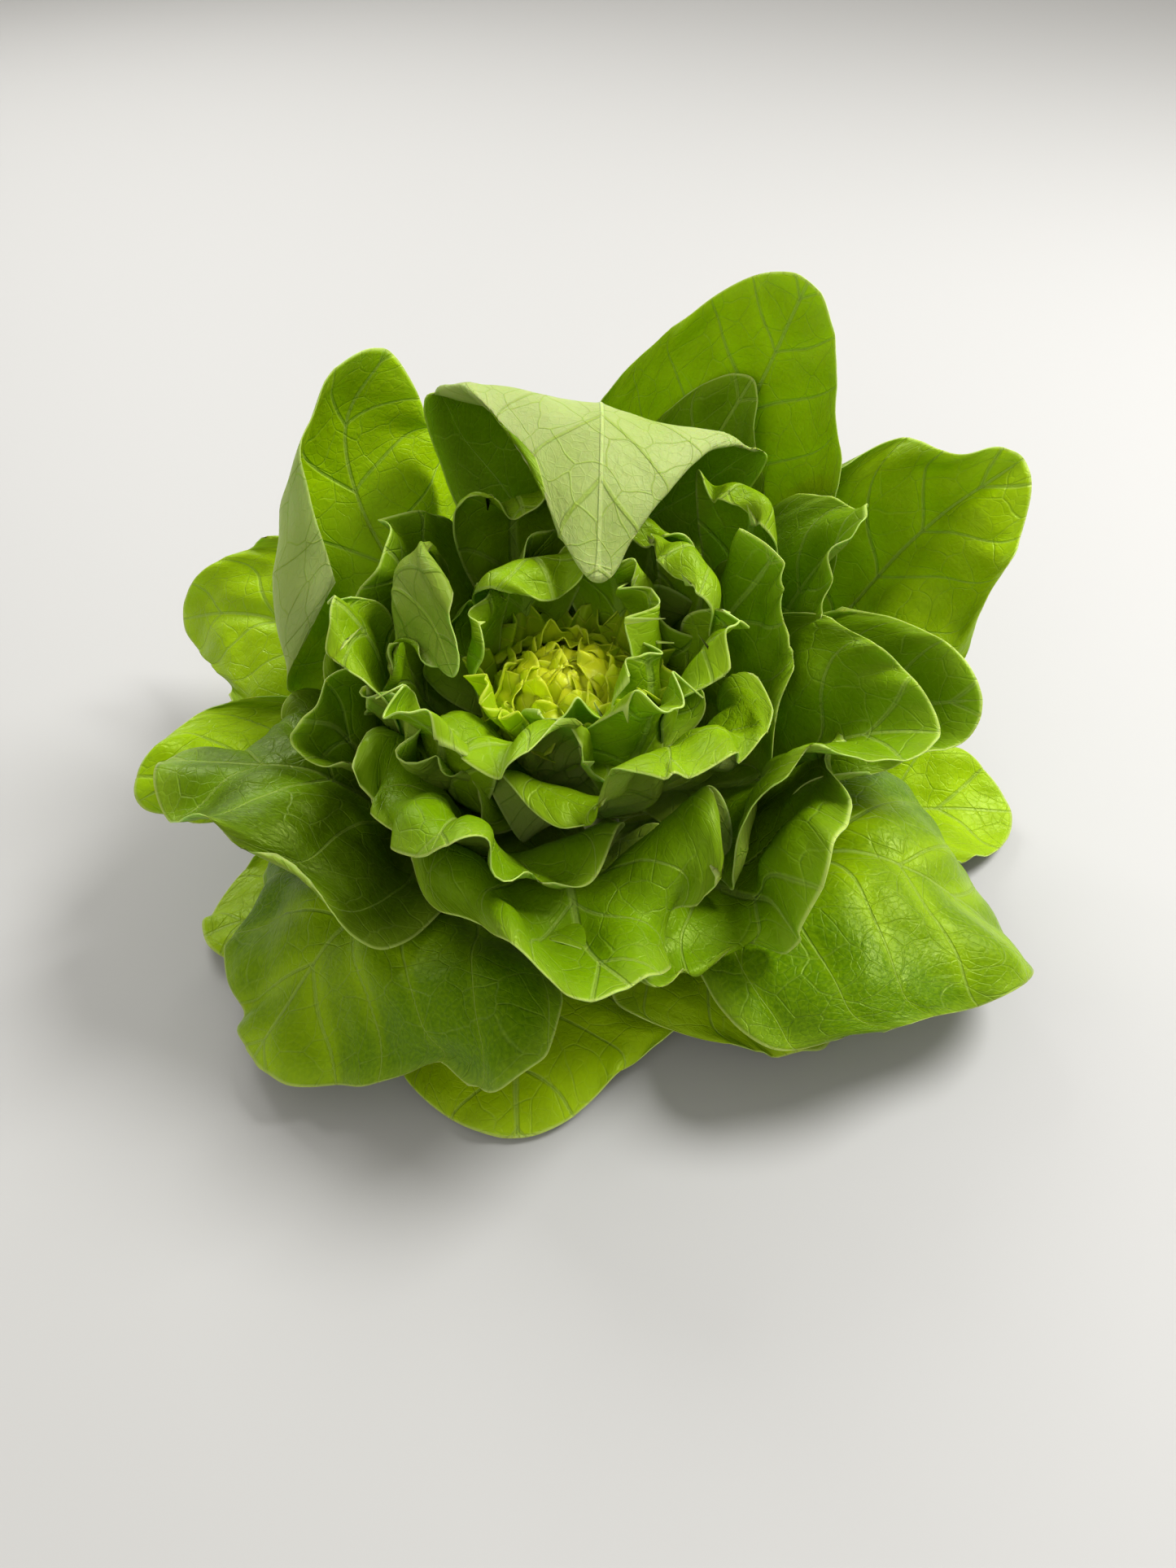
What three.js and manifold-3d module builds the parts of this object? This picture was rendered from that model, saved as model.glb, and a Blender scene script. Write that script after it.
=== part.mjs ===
// A butterhead lettuce, cut off at the stem and standing on the cut, with its leaves opened out.
//
// Millimetres, +Z up. The origin is the centre of the stem's cut face, and -Y is the head's front.
// Every leaf is a thin closed solid of its own. It starts as a rounded blade swept along its midrib,
// and is then bent clear of the leaves inside it, of the heart, of the stem and of the table.
// The table of leaves runs from the heart outwards, and so does the spiral of their roots.
import * as THREE from "three";
import { mergeVertices } from "three/addons/utils/BufferGeometryUtils.js";
import Module from "manifold-3d";

const wasm = await Module();
wasm.setup();
const { Vector3 } = THREE;
const { degToRad, lerp, smoothstep } = THREE.MathUtils;

// Driving dimensions
const BLADE = 0.8; // thickness of a leaf
const RIB = 0.9; // how far the midrib stands out under a leaf, halfway along it
const CLEAR = { root: 1.2, blade: 2.4 }; // least distance between the middles of two leaves
const FLOOR = 0.6; // lowest point of the middle of a leaf
const STEM = { cut: 16, shoulder: 20, shoulderHeight: 5, top: 5, height: 40, sides: 28 };

// The leaves' roots: heights on the stem from the outermost leaf's to the innermost's, half of the
// angle that a root takes round the stem, its gap from the stem, and the reach of the level collar
// after it, from the innermost leaf's to the outermost's
const ROOTS = { low: 5.5, high: 38.5, halfAngle: 24, off: 0.9, collar: [4, 13] };

// The form of every leaf, as shares of its length u or of its half width v unless stated
const ROOT_WIDTH = 0.24; // half width at the root
const WIDEST = 0.62; // u at which a leaf is widest
const POINT = 0.14; // what its half width has lost at the tip
const SPREAD = 0.35; // u over which it opens from its sheath round the stem
const TIP_TURN = [0.5, 1]; // u between which the turn of its margins goes over to that of the tip
const BOW = 0.36; // how far behind the midrib's tip the tip's corners lie
const LIP = -30; // how far the last of a margin rolls back towards the under side, degrees
const FAN = 0.4; // u of the point about which a margin's waves are spaced evenly
const WAVES = [0.1, 0.6]; // u between which they grow to their height
const WAVE_POWERS = { margin: 2.5, tip: 4 }; // how closely they keep to the margins and to the tip
const LIP_POWER = 4; // how closely the lip keeps to the margin
const ROLL_FROM = 0.1; // u at which the roll of a blade starts
const STEPS = { along: 48, across: 12 }; // in which a midrib and half of a section are added up
const ROW_SPACING = 1.25; // power that sets rows closer towards the root
const CELLS = { plain: [8, 6], waved: [9, 8], curled: [10, 12] }; // cells along and across a leaf
const WAVED_FROM = 4; // height of a leaf's waves above which it takes more cells
const CURLED_FROM = 9;

// The heart: the ellipsoid that the leaves stay out of, the core in it, and the leaves on the core
const HEART = { x: 0, y: -2, z: 73, radius: 28, halfHeight: 30 };
const CORE = { z: 64, radius: 15, halfHeight: 22, sides: [20, 12] };
const HEART_LEAVES = {
  count: 19,
  cells: [5, 6],
  turn: 137.5, // from one to the next, degrees
  foot: 50, // height of their lower ends
  top: 92, // height of the innermost's tip
  drop: 14, // how far below it the outermost's tip is
  radius: [4, 23], // distance of the innermost and outermost from the axis
  halfWidth: [6, 14],
  ease: 0.8, // power that sets the inner leaves, and the lower part of each, wider apart
  footWidth: 0.45, // half width at the foot
  arch: 0.1, // how far below the middle of its tip its corners are
  flare: [0.5, 0.9, 1.15], // of their distance: at the foot, at the innermost's tip, at the outermost's
  crinkle: 3.4, // height of the waves over them
  waves: 2.5, // their number across a leaf, in half waves a half width
  shift: 0.37, // by which they differ from one leaf to the next
  jag: 1.2, // height of the waves along their tips
  jags: 7, // how closely these follow each other, in radians a half width
};

// How a leaf settles
const OPEN = 1.05; // how far it is opened before it closes, radians
const HINGED = 5; // distance from the root over which it opens
const RAISED = [0.35, 0.8]; // shares of its length between which a lifted leaf is raised to the full
const STRIDE = 0.8; // how far the furthest point of it goes in a step
const HASTE = 1.2; // strides that a point is drawn in a step, at most
const LIMIT = 1.6; // strides that it moves in a step, at most
const PULL = 0.4; // share of the way to its own form that it is drawn in a step, at most
const PASSES = 4; // times that the lengths and clearances are seen to in a step
const REST = 40; // steps that it is given once it is closed
const YIELD = 0.25; // how fast a point gives up what its neighbours don't allow, in the later half of them
const EASE = 15; // steps at the end in which it isn't drawn
const TABLE_FROM = 0.3; // how far open it still is when it first meets the table
const LOWERED = [0.1, 0.5]; // how far open a lifted leaf is while it comes down, from last to first
const FREE_FROM = 0.7; // share of its length past which a lifted leaf may be on either side
const LOOK = 4; // steps between looks for what is near
const NEAR = 13; // how far off that is, which is more than a leaf moves between looks
const SIDED = 1.2; // a leaf no further than this through another is brought back
const FACING = 0.7; // height over a face, as a share of the distance from it, that counts as facing it
const CLOSER = [12, 40]; // distances from the axis between which the clearance grows to that of blades
const OVER_STEM = 2; // height over the stem up to which a leaf keeps off its top
const HOLD = { side: 0.9, diagonal: 0.5, fold: 0.3 }; // share of a length's error put right in a pass
const SAME = 0.001; // points closer than this are one

const LEAF_COLOUR = 0x5d9c1c;
const HEART_COLOUR = 0xc4cf3a;
const STEM_COLOUR = 0xe3e6b8;

// The leaves, from the heart outwards.
//   from    direction in which the leaf leaves the stem, degrees from +X towards +Y
//   rib     points that the midrib passes through after the root, with the tip last
//   width   across the blade
//   cup     how far each margin turns up towards the upper side, degrees: left and right of the
//           midrib halfway along, then left and right at the tip, seen from the root
//   roll    turn of the blade about its midrib, degrees, complete at the tip
//   ruffle  height of the margin's waves, their number round the margin, and where they start
//   lift    how far a leaf that folds over its neighbours is raised while it closes
//   widest, point  its own values for WIDEST and POINT
const LEAVES = [
  { name: "leaf_inner_right", from: 30, rib: [[22, 10, 60], [27, 12, 84], [34, 14, 96]],
    width: 62, cup: [35, 35, 0, 0], ruffle: [8, 6, 0.1] },
  { name: "leaf_inner_back", from: 118, rib: [[-10, 23, 60], [-12, 28, 92], [-8, 22, 107]],
    width: 70, cup: [30, 30, 0, 20], ruffle: [7, 5, 0.6] },
  { name: "leaf_inner_front_left", from: 252,
    rib: [[-8, -27, 60], [-10, -33, 82], [-14, -44, 93], [-17, -56, 90]],
    width: 54, cup: [45, 30, 0, 0], ruffle: [9, 6, 0.4] },
  { name: "leaf_inner_front", from: -58,
    rib: [[17, -26, 56], [23, -33, 82], [28, -46, 96], [31, -60, 93]],
    width: 88, cup: [30, 30, 0, 0], ruffle: [14, 6, 0.2] },
  { name: "leaf_folded_inwards", from: 168,
    rib: [[-30, 8, 60], [-42, 10, 96], [-44, 3, 113], [-34, -14, 111], [-26, -30, 101]],
    width: 58, cup: [15, 15, 10, 10], lift: 20, point: 0.5, ruffle: [3, 3, 0.0] },
  { name: "leaf_layered_left", from: 211, rib: [[-26, -16, 54], [-35, -24, 82], [-42, -35, 92]],
    width: 62, cup: [45, 30, 0, 0], ruffle: [11, 6, 0.5] },
  { name: "leaf_front_curl", from: 238,
    rib: [[-15, -29, 50], [-19, -41, 76], [-26, -58, 86], [-30, -73, 78]],
    width: 80, cup: [25, 25, 0, 0], ruffle: [13, 6, 0.4] },
  { name: "leaf_right_tongue", from: 18, rib: [[32, 10, 58], [48, 16, 88], [66, 16, 102]],
    width: 68, cup: [25, 35, 10, 0], ruffle: [14, 6, 0.3] },
  { name: "leaf_front_waves", from: 270,
    rib: [[0, -33, 45], [3, -50, 68], [6, -70, 70], [8, -85, 54]],
    width: 98, cup: [25, 25, 0, 0], ruffle: [16, 6, 0.1] },
  { name: "leaf_right_cup", from: -12, rib: [[38, -8, 50], [68, -16, 78], [96, -24, 88]],
    width: 100, cup: [40, 40, 15, 15], ruffle: [13, 5, 0.7] },
  { name: "leaf_left_wave", from: 192, rib: [[-34, -8, 52], [-50, -16, 82], [-66, -24, 92]],
    width: 62, cup: [25, 30, 0, 0], ruffle: [12, 6, 0.9] },
  { name: "leaf_folded_over", from: 88,
    rib: [[4, 48, 66], [8, 66, 112], [10, 58, 138], [10, 30, 133], [10, 1, 110]],
    width: 110, cup: [10, 10, 20, 20], lift: 35, widest: 0.82, point: 0.55, ruffle: [5, 3, 0.2] },
  { name: "leaf_back_right_rim", from: 38, rib: [[40, 25, 58], [66, 34, 93], [94, 30, 109]],
    width: 76, cup: [30, 25, 0, 10], ruffle: [14, 6, 0.1] },
  { name: "leaf_front_sweep", from: -46,
    rib: [[29, -30, 42], [42, -46, 64], [52, -58, 70], [58, -66, 62]],
    width: 132, cup: [12, 35, 5, 10], roll: 14, ruffle: [11, 5, 0.6] },
  { name: "leaf_back_left_rim", from: 146, rib: [[-31, 23, 56], [-52, 33, 92], [-66, 32, 104]],
    width: 82, cup: [25, 25, 10, 10], ruffle: [14, 6, 0.2] },
  { name: "leaf_right_wave", from: 6, rib: [[46, 4, 48], [84, 4, 70], [118, -2, 70]],
    width: 84, cup: [30, 30, 10, 10], ruffle: [12, 4, 0.5] },
  { name: "leaf_left_lobes", from: 202, rib: [[-42, -16, 46], [-78, -24, 66], [-110, -24, 52]],
    width: 108, cup: [5, 5, -15, -10], ruffle: [13, 4, 0.4] },
  { name: "leaf_back_right_dark", from: 58, rib: [[29, 62, 60], [46, 91, 99], [58, 93, 127]],
    width: 74, cup: [25, 25, 10, 10], ruffle: [6, 4, 0.3] },
  { name: "leaf_left_out", from: 184, rib: [[-50, 4, 40], [-90, -2, 54], [-126, -8, 38]],
    width: 68, cup: [10, 25, 0, 15], roll: -30, ruffle: [6, 4, 0.2] },
  { name: "leaf_left_folded", from: 134,
    rib: [[-38, 34, 46], [-62, 52, 92], [-67, 65, 124], [-52, 80, 143]],
    width: 112, cup: [60, 0, 160, 0], lift: 35, widest: 0.7, point: 0.15, roll: -15, ruffle: [3, 3, 0.8] },
  { name: "leaf_back_upright", from: 68, rib: [[28, 54, 50], [49, 80, 108], [71, 86, 168]],
    width: 104, cup: [25, 25, 15, 15], widest: 0.78, point: 0.08, ruffle: [4, 3, 0.3] },
  { name: "leaf_right_cupped", from: 24, rib: [[51, 29, 44], [94, 50, 90], [139, 60, 117]],
    width: 108, cup: [30, 30, 30, 10], roll: 62, ruffle: [5, 3, 0.1] },
  { name: "leaf_right_front_low", from: -26,
    rib: [[44, -22, 38], [76, -33, 46], [106, -43, 38], [132, -50, 15]],
    width: 136, cup: [-15, -20, -35, -20], ruffle: [4, 4, 0.1] },
  { name: "leaf_front_left_low", from: 236, rib: [[-31, -33, 34], [-60, -55, 38], [-84, -83, 8]],
    width: 150, cup: [-10, -20, -25, -25], ruffle: [5, 4, 0.1] },
  { name: "leaf_back_left_low", from: 152, rib: [[-64, 44, 36], [-106, 72, 46], [-145, 90, 30]],
    width: 86, cup: [20, 20, 10, 10], roll: -50, ruffle: [3, 2, 0.3] },
  { name: "leaf_back_low", from: 104, rib: [[-10, 52, 36], [-18, 88, 40], [-22, 112, 24]],
    width: 104, cup: [20, 20, -10, -10], ruffle: [6, 4, 0.6] },
  { name: "leaf_right_low", from: 6, rib: [[54, 4, 26], [102, 12, 28], [150, 14, 10]],
    width: 100, cup: [10, -10, 0, -10], ruffle: [4, 3, 0.6] },
  { name: "leaf_back_right_low", from: 62, rib: [[26, 50, 30], [46, 84, 32], [62, 106, 14]],
    width: 96, cup: [15, 15, -10, -10], ruffle: [6, 4, 0.1] },
  { name: "leaf_left_low", from: 194, rib: [[-50, -12, 25], [-84, -22, 18], [-112, -36, 6]],
    width: 98, cup: [0, 0, -10, -10], ruffle: [4, 3, 0.9] },
  { name: "leaf_right_front_under", from: -52, rib: [[30, -38, 18], [54, -60, 12], [76, -76, 3]],
    width: 70, cup: [0, 0, 0, 0], ruffle: [2, 3, 0.2] },
  { name: "leaf_front_low", from: 264, rib: [[-8, -40, 20], [-14, -72, 12], [-12, -103, 2]],
    width: 108, cup: [0, 0, 0, 0], ruffle: [2, 3, 0.2] },
];

// Radius of the stem at a height.
function stemRadius(z) {
  const { cut, shoulder, shoulderHeight, top, height } = STEM;
  if (z < shoulderHeight) return lerp(cut, shoulder, z / shoulderHeight);
  return lerp(shoulder, top, Math.min(1, (z - shoulderHeight) / (height - shoulderHeight)));
}

function outwards(angle) {
  return new Vector3(Math.cos(angle), Math.sin(angle), 0);
}

// The middle of a blade as rows of points, from the root to the tip and from left to right.
// The first row lies round the stem at the root's height, and the rows after it open into the blade.
function bladePoints(leaf, rootHeight, collar, [rows, columns]) {
  const { from, rib, width, cup, roll = 0, widest = WIDEST, point = POINT, ruffle } = leaf;
  const out = outwards(degToRad(from));
  const rootRadius = stemRadius(rootHeight) + ROOTS.off;
  const root = out.clone().multiplyScalar(rootRadius).setZ(rootHeight);
  const bend = out.clone().multiplyScalar(rootRadius + collar).setZ(rootHeight + 1);
  const knots = [root, bend, ...rib.map((p) => new Vector3(...p))];
  const curve = new THREE.CatmullRomCurve3(knots, false, "centripetal");
  const length = curve.getLength();
  const frames = ribFrames(curve, out.clone().negate().setZ(1), degToRad(roll));
  const [height, count, start] = ruffle;
  const points = [];
  for (let i = 0; i <= rows; i++) {
    const u = (i / rows) ** ROW_SPACING;
    const half = (width / 2) * outline(u, widest, point);
    const turn = [0, 1].map((side) => degToRad(lerp(cup[side], cup[side + 2], smoothstep(u, ...TIP_TURN))));
    const spread = smoothstep(u, 0, SPREAD);
    for (let j = 0; j <= columns; j++) {
      const v = (2 * j) / columns - 1;
      const frame = frames(u * (1 - BOW * v * v * u));
      const section = acrossBlade(Math.abs(v), turn[v < 0 ? 0 : 1], degToRad(LIP));
      const angle = Math.atan2(v * half, (u - FAN) * length) / Math.PI;
      const side = smoothstep(u, ...WAVES) * Math.abs(v) ** WAVE_POWERS.margin;
      const margin = Math.max(side, u ** WAVE_POWERS.tip);
      const wave = height * margin * Math.sin(Math.PI * (count * angle + 2 * start));
      const blade = frame.point
        .clone()
        .addScaledVector(frame.right, Math.sign(v) * half * section.out)
        .addScaledVector(frame.upper, half * section.up * spread + wave);
      const sheath = outwards(degToRad(from - v * ROOTS.halfAngle))
        .multiplyScalar(rootRadius)
        .setZ(rootHeight)
        .add(frame.point)
        .sub(root);
      points.push(sheath.lerp(blade, spread));
    }
  }
  return points;
}

// Half width of a blade as a share of its widest, which it reaches at the share widest of its length.
// It narrows by the share point at the tip.
function outline(u, widest, point) {
  if (u < widest) return lerp(ROOT_WIDTH, 1, smoothstep(u, 0, widest));
  return 1 - point * ((u - widest) / (1 - widest)) ** 2;
}

// How far out from the midrib, and how far to the upper side, a point of the blade lies, as shares of
// the half width, where the blade turns up by turn radians and its margin rolls by lip more.
function acrossBlade(share, turn, lip) {
  const step = share / STEPS.across;
  let out = 0;
  let up = 0;
  for (let k = 0; k < STEPS.across; k++) {
    const x = (k + 0.5) * step;
    const heading = turn * x + lip * x ** LIP_POWER;
    out += step * Math.cos(heading);
    up += step * Math.sin(heading);
  }
  return { out, up };
}

// A function from a share of the midrib's length to its point, upper side and right there. The upper
// side starts facing inward, is carried along the midrib without spin, and turns by roll.
function ribFrames(curve, inward, roll) {
  const steps = STEPS.along;
  const tangents = Array.from({ length: steps + 1 }, (_, k) => curve.getTangentAt(k / steps));
  const uppers = [square(inward, tangents[0])];
  for (let k = 1; k <= steps; k++) uppers.push(square(uppers[k - 1], tangents[k]));
  return (share) => {
    const at = Math.min(steps - 1, Math.floor(share * steps));
    const rest = share * steps - at;
    const tangent = tangents[at].clone().lerp(tangents[at + 1], rest).normalize();
    const upper = square(uppers[at].clone().lerp(uppers[at + 1], rest), tangent);
    upper.applyAxisAngle(tangent, roll * smoothstep(share, ROLL_FROM, 1));
    return { point: curve.getPointAt(share), upper, right: tangent.clone().cross(upper) };
  };
}

function square(vector, tangent) {
  return vector.clone().addScaledVector(tangent, -vector.dot(tangent)).normalize();
}

// The two triangles of each cell of a blade, the same way round all over, facing its upper side.
function bladeTriangles([rows, columns]) {
  const triangles = [];
  const wide = columns + 1;
  for (let i = 0; i < rows; i++)
    for (let j = 0; j < columns; j++) {
      const a = i * wide + j;
      triangles.push([a, a + 1, a + wide + 1], [a, a + wide + 1, a + wide]);
    }
  return triangles;
}

// Closes a leaf from wide open to its own form, held off from the settled leaves, the heart, the stem
// and the table. A point moves by less than CLEAR a step, so that no leaf passes through another.
function settle(home, cells, lift, settled) {
  const [rows, columns] = cells;
  const root = home[columns >> 1];
  const hinge = new Vector3(-root.y, root.x, 0).normalize();
  const opened = (n, share, lifted) => {
    const angle = OPEN * share * Math.min(1, home[n].distanceTo(root) / HINGED);
    const p = home[n].clone().sub(root).applyAxisAngle(hinge, angle).add(root);
    p.z += lift * lifted * smoothstep(Math.floor(n / (columns + 1)) / rows, ...RAISED);
    return p;
  };
  const points = home.map((_, n) => opened(n, 1, 1));
  const freeFrom = lift ? Math.round(FREE_FROM * rows) * (columns + 1) : Infinity;
  const blade = { points, triangles: bladeTriangles(cells), samples: bladeSamples(cells), freeFrom };
  const links = bladeLinks(home, cells);
  const allowed = home.map(() => new Vector3()); // how far from its own form a point may stay
  let near;
  const keepOff = (table) => {
    for (const link of links) holdLength(link, points, columns);
    holdOff(blade, near, columns);
    points.forEach((p, k) => k > columns && clearOfCore(p, table));
  };
  const closing = Math.ceil(Math.max(...home.map((p, n) => p.distanceTo(points[n]))) / STRIDE);
  const drawn = closing + REST;
  for (let n = 0; n < drawn + EASE; n++) {
    const open = Math.max(0, 1 - n / closing);
    if (n % LOOK === 0) near = nearby(blade, settled);
    const before = points.map((p) => p.clone());
    if (n < drawn)
      points.forEach((p, k) => {
        const way = opened(k, open, smoothstep(open, ...LOWERED)).add(allowed[k]).sub(p);
        p.addScaledVector(way, k > columns ? Math.min(PULL, (HASTE * STRIDE) / way.length()) : 1);
      });
    for (let pass = 0; pass < PASSES; pass++) keepOff(open < TABLE_FROM);
    points.forEach((p, k) => {
      const moved = p.distanceTo(before[k]);
      if (moved > LIMIT * STRIDE) p.lerp(before[k], 1 - (LIMIT * STRIDE) / moved);
    });
    if (n > closing + REST / 2 && n < drawn)
      allowed.forEach((a, k) => a.lerp(points[k].clone().sub(home[k]), YIELD));
  }
  return points;
}

function holdLength({ a, b, rest, share }, points, columns) {
  const along = new Vector3().copy(points[b]).sub(points[a]);
  const length = along.length();
  along.multiplyScalar((share * (length - rest)) / length / 2);
  if (a > columns) points[a].add(along);
  if (b > columns) points[b].sub(along);
}

// The settled triangles near each sample of a blade, and the settled samples near each of its triangles.
function nearby({ points, triangles, samples }, settled) {
  const bounds = new THREE.Box3().setFromPoints(points).expandByScalar(NEAR);
  const reaches = (face) => bounds.distanceToPoint(face.centre) < face.radius;
  const faces = settled.flatMap((leaf) => leaf.faces).filter(reaches);
  const dots = settled.flatMap((leaf) => leaf.dots).filter((d) => bounds.containsPoint(d));
  const at = new Vector3();
  return {
    faces: samples.map((sample) => {
      place(sample, points, at);
      return faces.filter((f) => f.centre.distanceTo(at) < f.radius + NEAR);
    }),
    dots: triangles.map((corners) => {
      const radius = centreAndRadius(corners, points, at);
      return dots.filter((d) => d.distanceTo(at) < radius + NEAR);
    }),
  };
}

// Moves a blade's points so that it is at least its clearance from what is near, on the under side of
// the settled leaves. Each point moves by the mean of what its contacts ask for, weighted towards the
// deepest. Past the row freeFrom a blade that is lifted over its neighbours may be on either side.
function holdOff({ points, triangles, samples, freeFrom }, near, columns) {
  const moves = points.map(() => new Vector3());
  const weights = points.map(() => 0);
  const at = new Vector3();
  const closest = new Vector3();
  const away = new Vector3();
  const contact = (from, to, normal, sample) => {
    away.copy(from).sub(to);
    const distance = away.length();
    const clear = clearanceAt(from);
    const height = away.dot(normal);
    const facing = distance < SIDED && Math.abs(height) > FACING * distance && sample[0][0] < freeFrom;
    const missing = facing ? clear - height : clear - distance;
    if (missing <= 0 || distance === 0) return;
    if (facing) away.copy(normal);
    else away.divideScalar(distance);
    const squares = sample.reduce((sum, [, share]) => sum + share * share, 0);
    for (const [corner, share] of sample) {
      moves[corner].addScaledVector(away, (missing * Math.min(missing, clear) * share * share) / squares);
      weights[corner] += missing * share;
    }
  };
  samples.forEach((sample, n) => {
    if (near.faces[n].length === 0) return;
    place(sample, points, at);
    for (const face of near.faces[n]) {
      if (face.centre.distanceToSquared(at) > (face.radius + CLEAR.blade) ** 2) continue;
      face.closestPointToPoint(at, closest);
      contact(at, closest, face.under, sample);
    }
  });
  const own = new THREE.Triangle();
  const shares = new Vector3();
  const under = new Vector3();
  triangles.forEach((corners, n) => {
    if (near.dots[n].length === 0) return;
    const radius = centreAndRadius(corners, points, at);
    own.set(...corners.map((c) => points[c]));
    own.getNormal(under).negate();
    for (const dot of near.dots[n]) {
      if (at.distanceToSquared(dot) > (radius + CLEAR.blade) ** 2) continue;
      own.closestPointToPoint(dot, closest);
      if (!own.getBarycoord(closest, shares)) continue;
      contact(closest, dot, under, corners.map((c, k) => [c, shares.getComponent(k)]));
    }
  });
  points.forEach((p, n) => {
    if (n > columns && weights[n] > 0) p.addScaledVector(moves[n], 1 / weights[n]);
  });
}

// Leaves lie closer together round the stem.
function clearanceAt(point) {
  return lerp(CLEAR.root, CLEAR.blade, smoothstep(Math.hypot(point.x, point.y), ...CLOSER));
}

// Keeps a point outside the heart and the stem, and above the table once it counts.
function clearOfCore(p, table) {
  const centre = new Vector3(HEART.x, HEART.y, HEART.z);
  const size = new Vector3(HEART.radius, HEART.radius, HEART.halfHeight);
  const away = p.clone().sub(centre).divide(size);
  if (away.length() < 1) p.copy(away.normalize().multiply(size).add(centre));
  const least = p.z < STEM.height + OVER_STEM ? stemRadius(Math.max(0, p.z)) + ROOTS.off : 0;
  const radius = Math.hypot(p.x, p.y);
  if (radius < least) {
    p.x *= least / radius;
    p.y *= least / radius;
  }
  if (table) p.z = Math.max(p.z, FLOOR);
}

// A sample is a list of corners with their shares. Puts into at the place that they give.
function place(sample, points, at) {
  at.set(0, 0, 0);
  for (const [corner, share] of sample) at.addScaledVector(points[corner], share);
  return at;
}

function centreAndRadius(corners, points, at) {
  at.set(0, 0, 0);
  for (const c of corners) at.addScaledVector(points[c], 1 / corners.length);
  return Math.max(...corners.map((c) => points[c].distanceTo(at)));
}

// Samples over a blade: each point, and thirds of each cell's sides and of its diagonal.
function bladeSamples([rows, columns]) {
  const wide = columns + 1;
  const found = [];
  const thirds = (a, b) => found.push([[a, 2 / 3], [b, 1 / 3]], [[a, 1 / 3], [b, 2 / 3]]);
  for (let i = 0; i <= rows; i++)
    for (let j = 0; j <= columns; j++) {
      const a = i * wide + j;
      found.push([[a, 1]]);
      if (j < columns) thirds(a, a + 1);
      if (i < rows) thirds(a, a + wide);
      if (i < rows && j < columns) thirds(a, a + wide + 1);
    }
  return found;
}

// The lengths that a blade keeps: its cells' sides and diagonals, and over every second point, which
// holds off folding.
function bladeLinks(points, [rows, columns]) {
  const wide = columns + 1;
  const { side, diagonal, fold } = HOLD;
  const spans = [[0, 1, side], [1, 0, side], [1, 1, diagonal], [1, -1, diagonal], [0, 2, fold], [2, 0, fold]];
  const links = [];
  for (let i = 0; i <= rows; i++)
    for (let j = 0; j <= columns; j++)
      for (const [down, across, share] of spans) {
        if (i + down > rows || j + across > columns || j + across < 0) continue;
        const a = i * wide + j;
        const b = a + down * wide + across;
        links.push({ a, b, rest: points[a].distanceTo(points[b]), share });
      }
  return links;
}

// What later leaves are held off from: the triangles of a settled leaf, and samples over it.
function asObstacle(points, cells) {
  const faces = bladeTriangles(cells).map((corners) => {
    const face = new THREE.Triangle(...corners.map((c) => points[c]));
    face.centre = new Vector3();
    face.under = face.getNormal(new Vector3()).negate();
    face.radius = centreAndRadius(corners, points, face.centre);
    return face;
  });
  return { faces, dots: bladeSamples(cells).map((sample) => place(sample, points, new Vector3())) };
}

// A closed solid from the middle of a blade: its upper and under sheets, joined round the margin.
// Both sheets are split into the same triangles. The midrib is a ridge down the under sheet.
function bladeGeometry(points, [rows, columns]) {
  const wide = columns + 1;
  const triangles = bladeTriangles([rows, columns]);
  const normals = points.map(() => new Vector3());
  const normal = new Vector3();
  for (const t of triangles) {
    new THREE.Triangle(...t.map((n) => points[n])).getNormal(normal);
    for (const n of t) normals[n].add(normal);
  }
  normals.forEach((n) => n.normalize());
  const upper = points.map((p, n) => p.clone().addScaledVector(normals[n], BLADE / 2));
  const under = points.map((p, n) => {
    const share = Math.floor(n / wide) / rows;
    const ridge = 2 * (n % wide) === columns ? 4 * RIB * share * (1 - share) : 0;
    return p.clone().addScaledVector(normals[n], -BLADE / 2 - ridge);
  });
  const loop = [];
  for (let j = 0; j < columns; j++) loop.push(j);
  for (let i = 0; i < rows; i++) loop.push(i * wide + columns);
  for (let j = columns; j > 0; j--) loop.push(rows * wide + j);
  for (let i = rows; i > 0; i--) loop.push(i * wide);
  const faces = [];
  const total = points.length;
  for (const [a, b, c] of triangles) faces.push(a, b, c, total + a, total + c, total + b);
  loop.forEach((a, n) => {
    const b = loop[(n + 1) % loop.length];
    faces.push(a, total + a, total + b, a, total + b, b);
  });
  const geometry = new THREE.BufferGeometry().setFromPoints([...upper, ...under]);
  geometry.setIndex(faces);
  geometry.computeVertexNormals();
  return geometry;
}

// The heart: crinkled leaves that stand in a spiral out of a core, joined into one solid.
function heartGeometry() {
  const core = new THREE.SphereGeometry(1, ...CORE.sides)
    .rotateX(Math.PI / 2)
    .scale(CORE.radius, CORE.radius, CORE.halfHeight)
    .translate(HEART.x, HEART.y, CORE.z);
  let solid = solidOf(core);
  for (let index = 0; index < HEART_LEAVES.count; index++)
    solid = solid.add(solidOf(bladeGeometry(heartLeafPoints(index), HEART_LEAVES.cells)));
  return geometryOf(solid);
}

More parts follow.
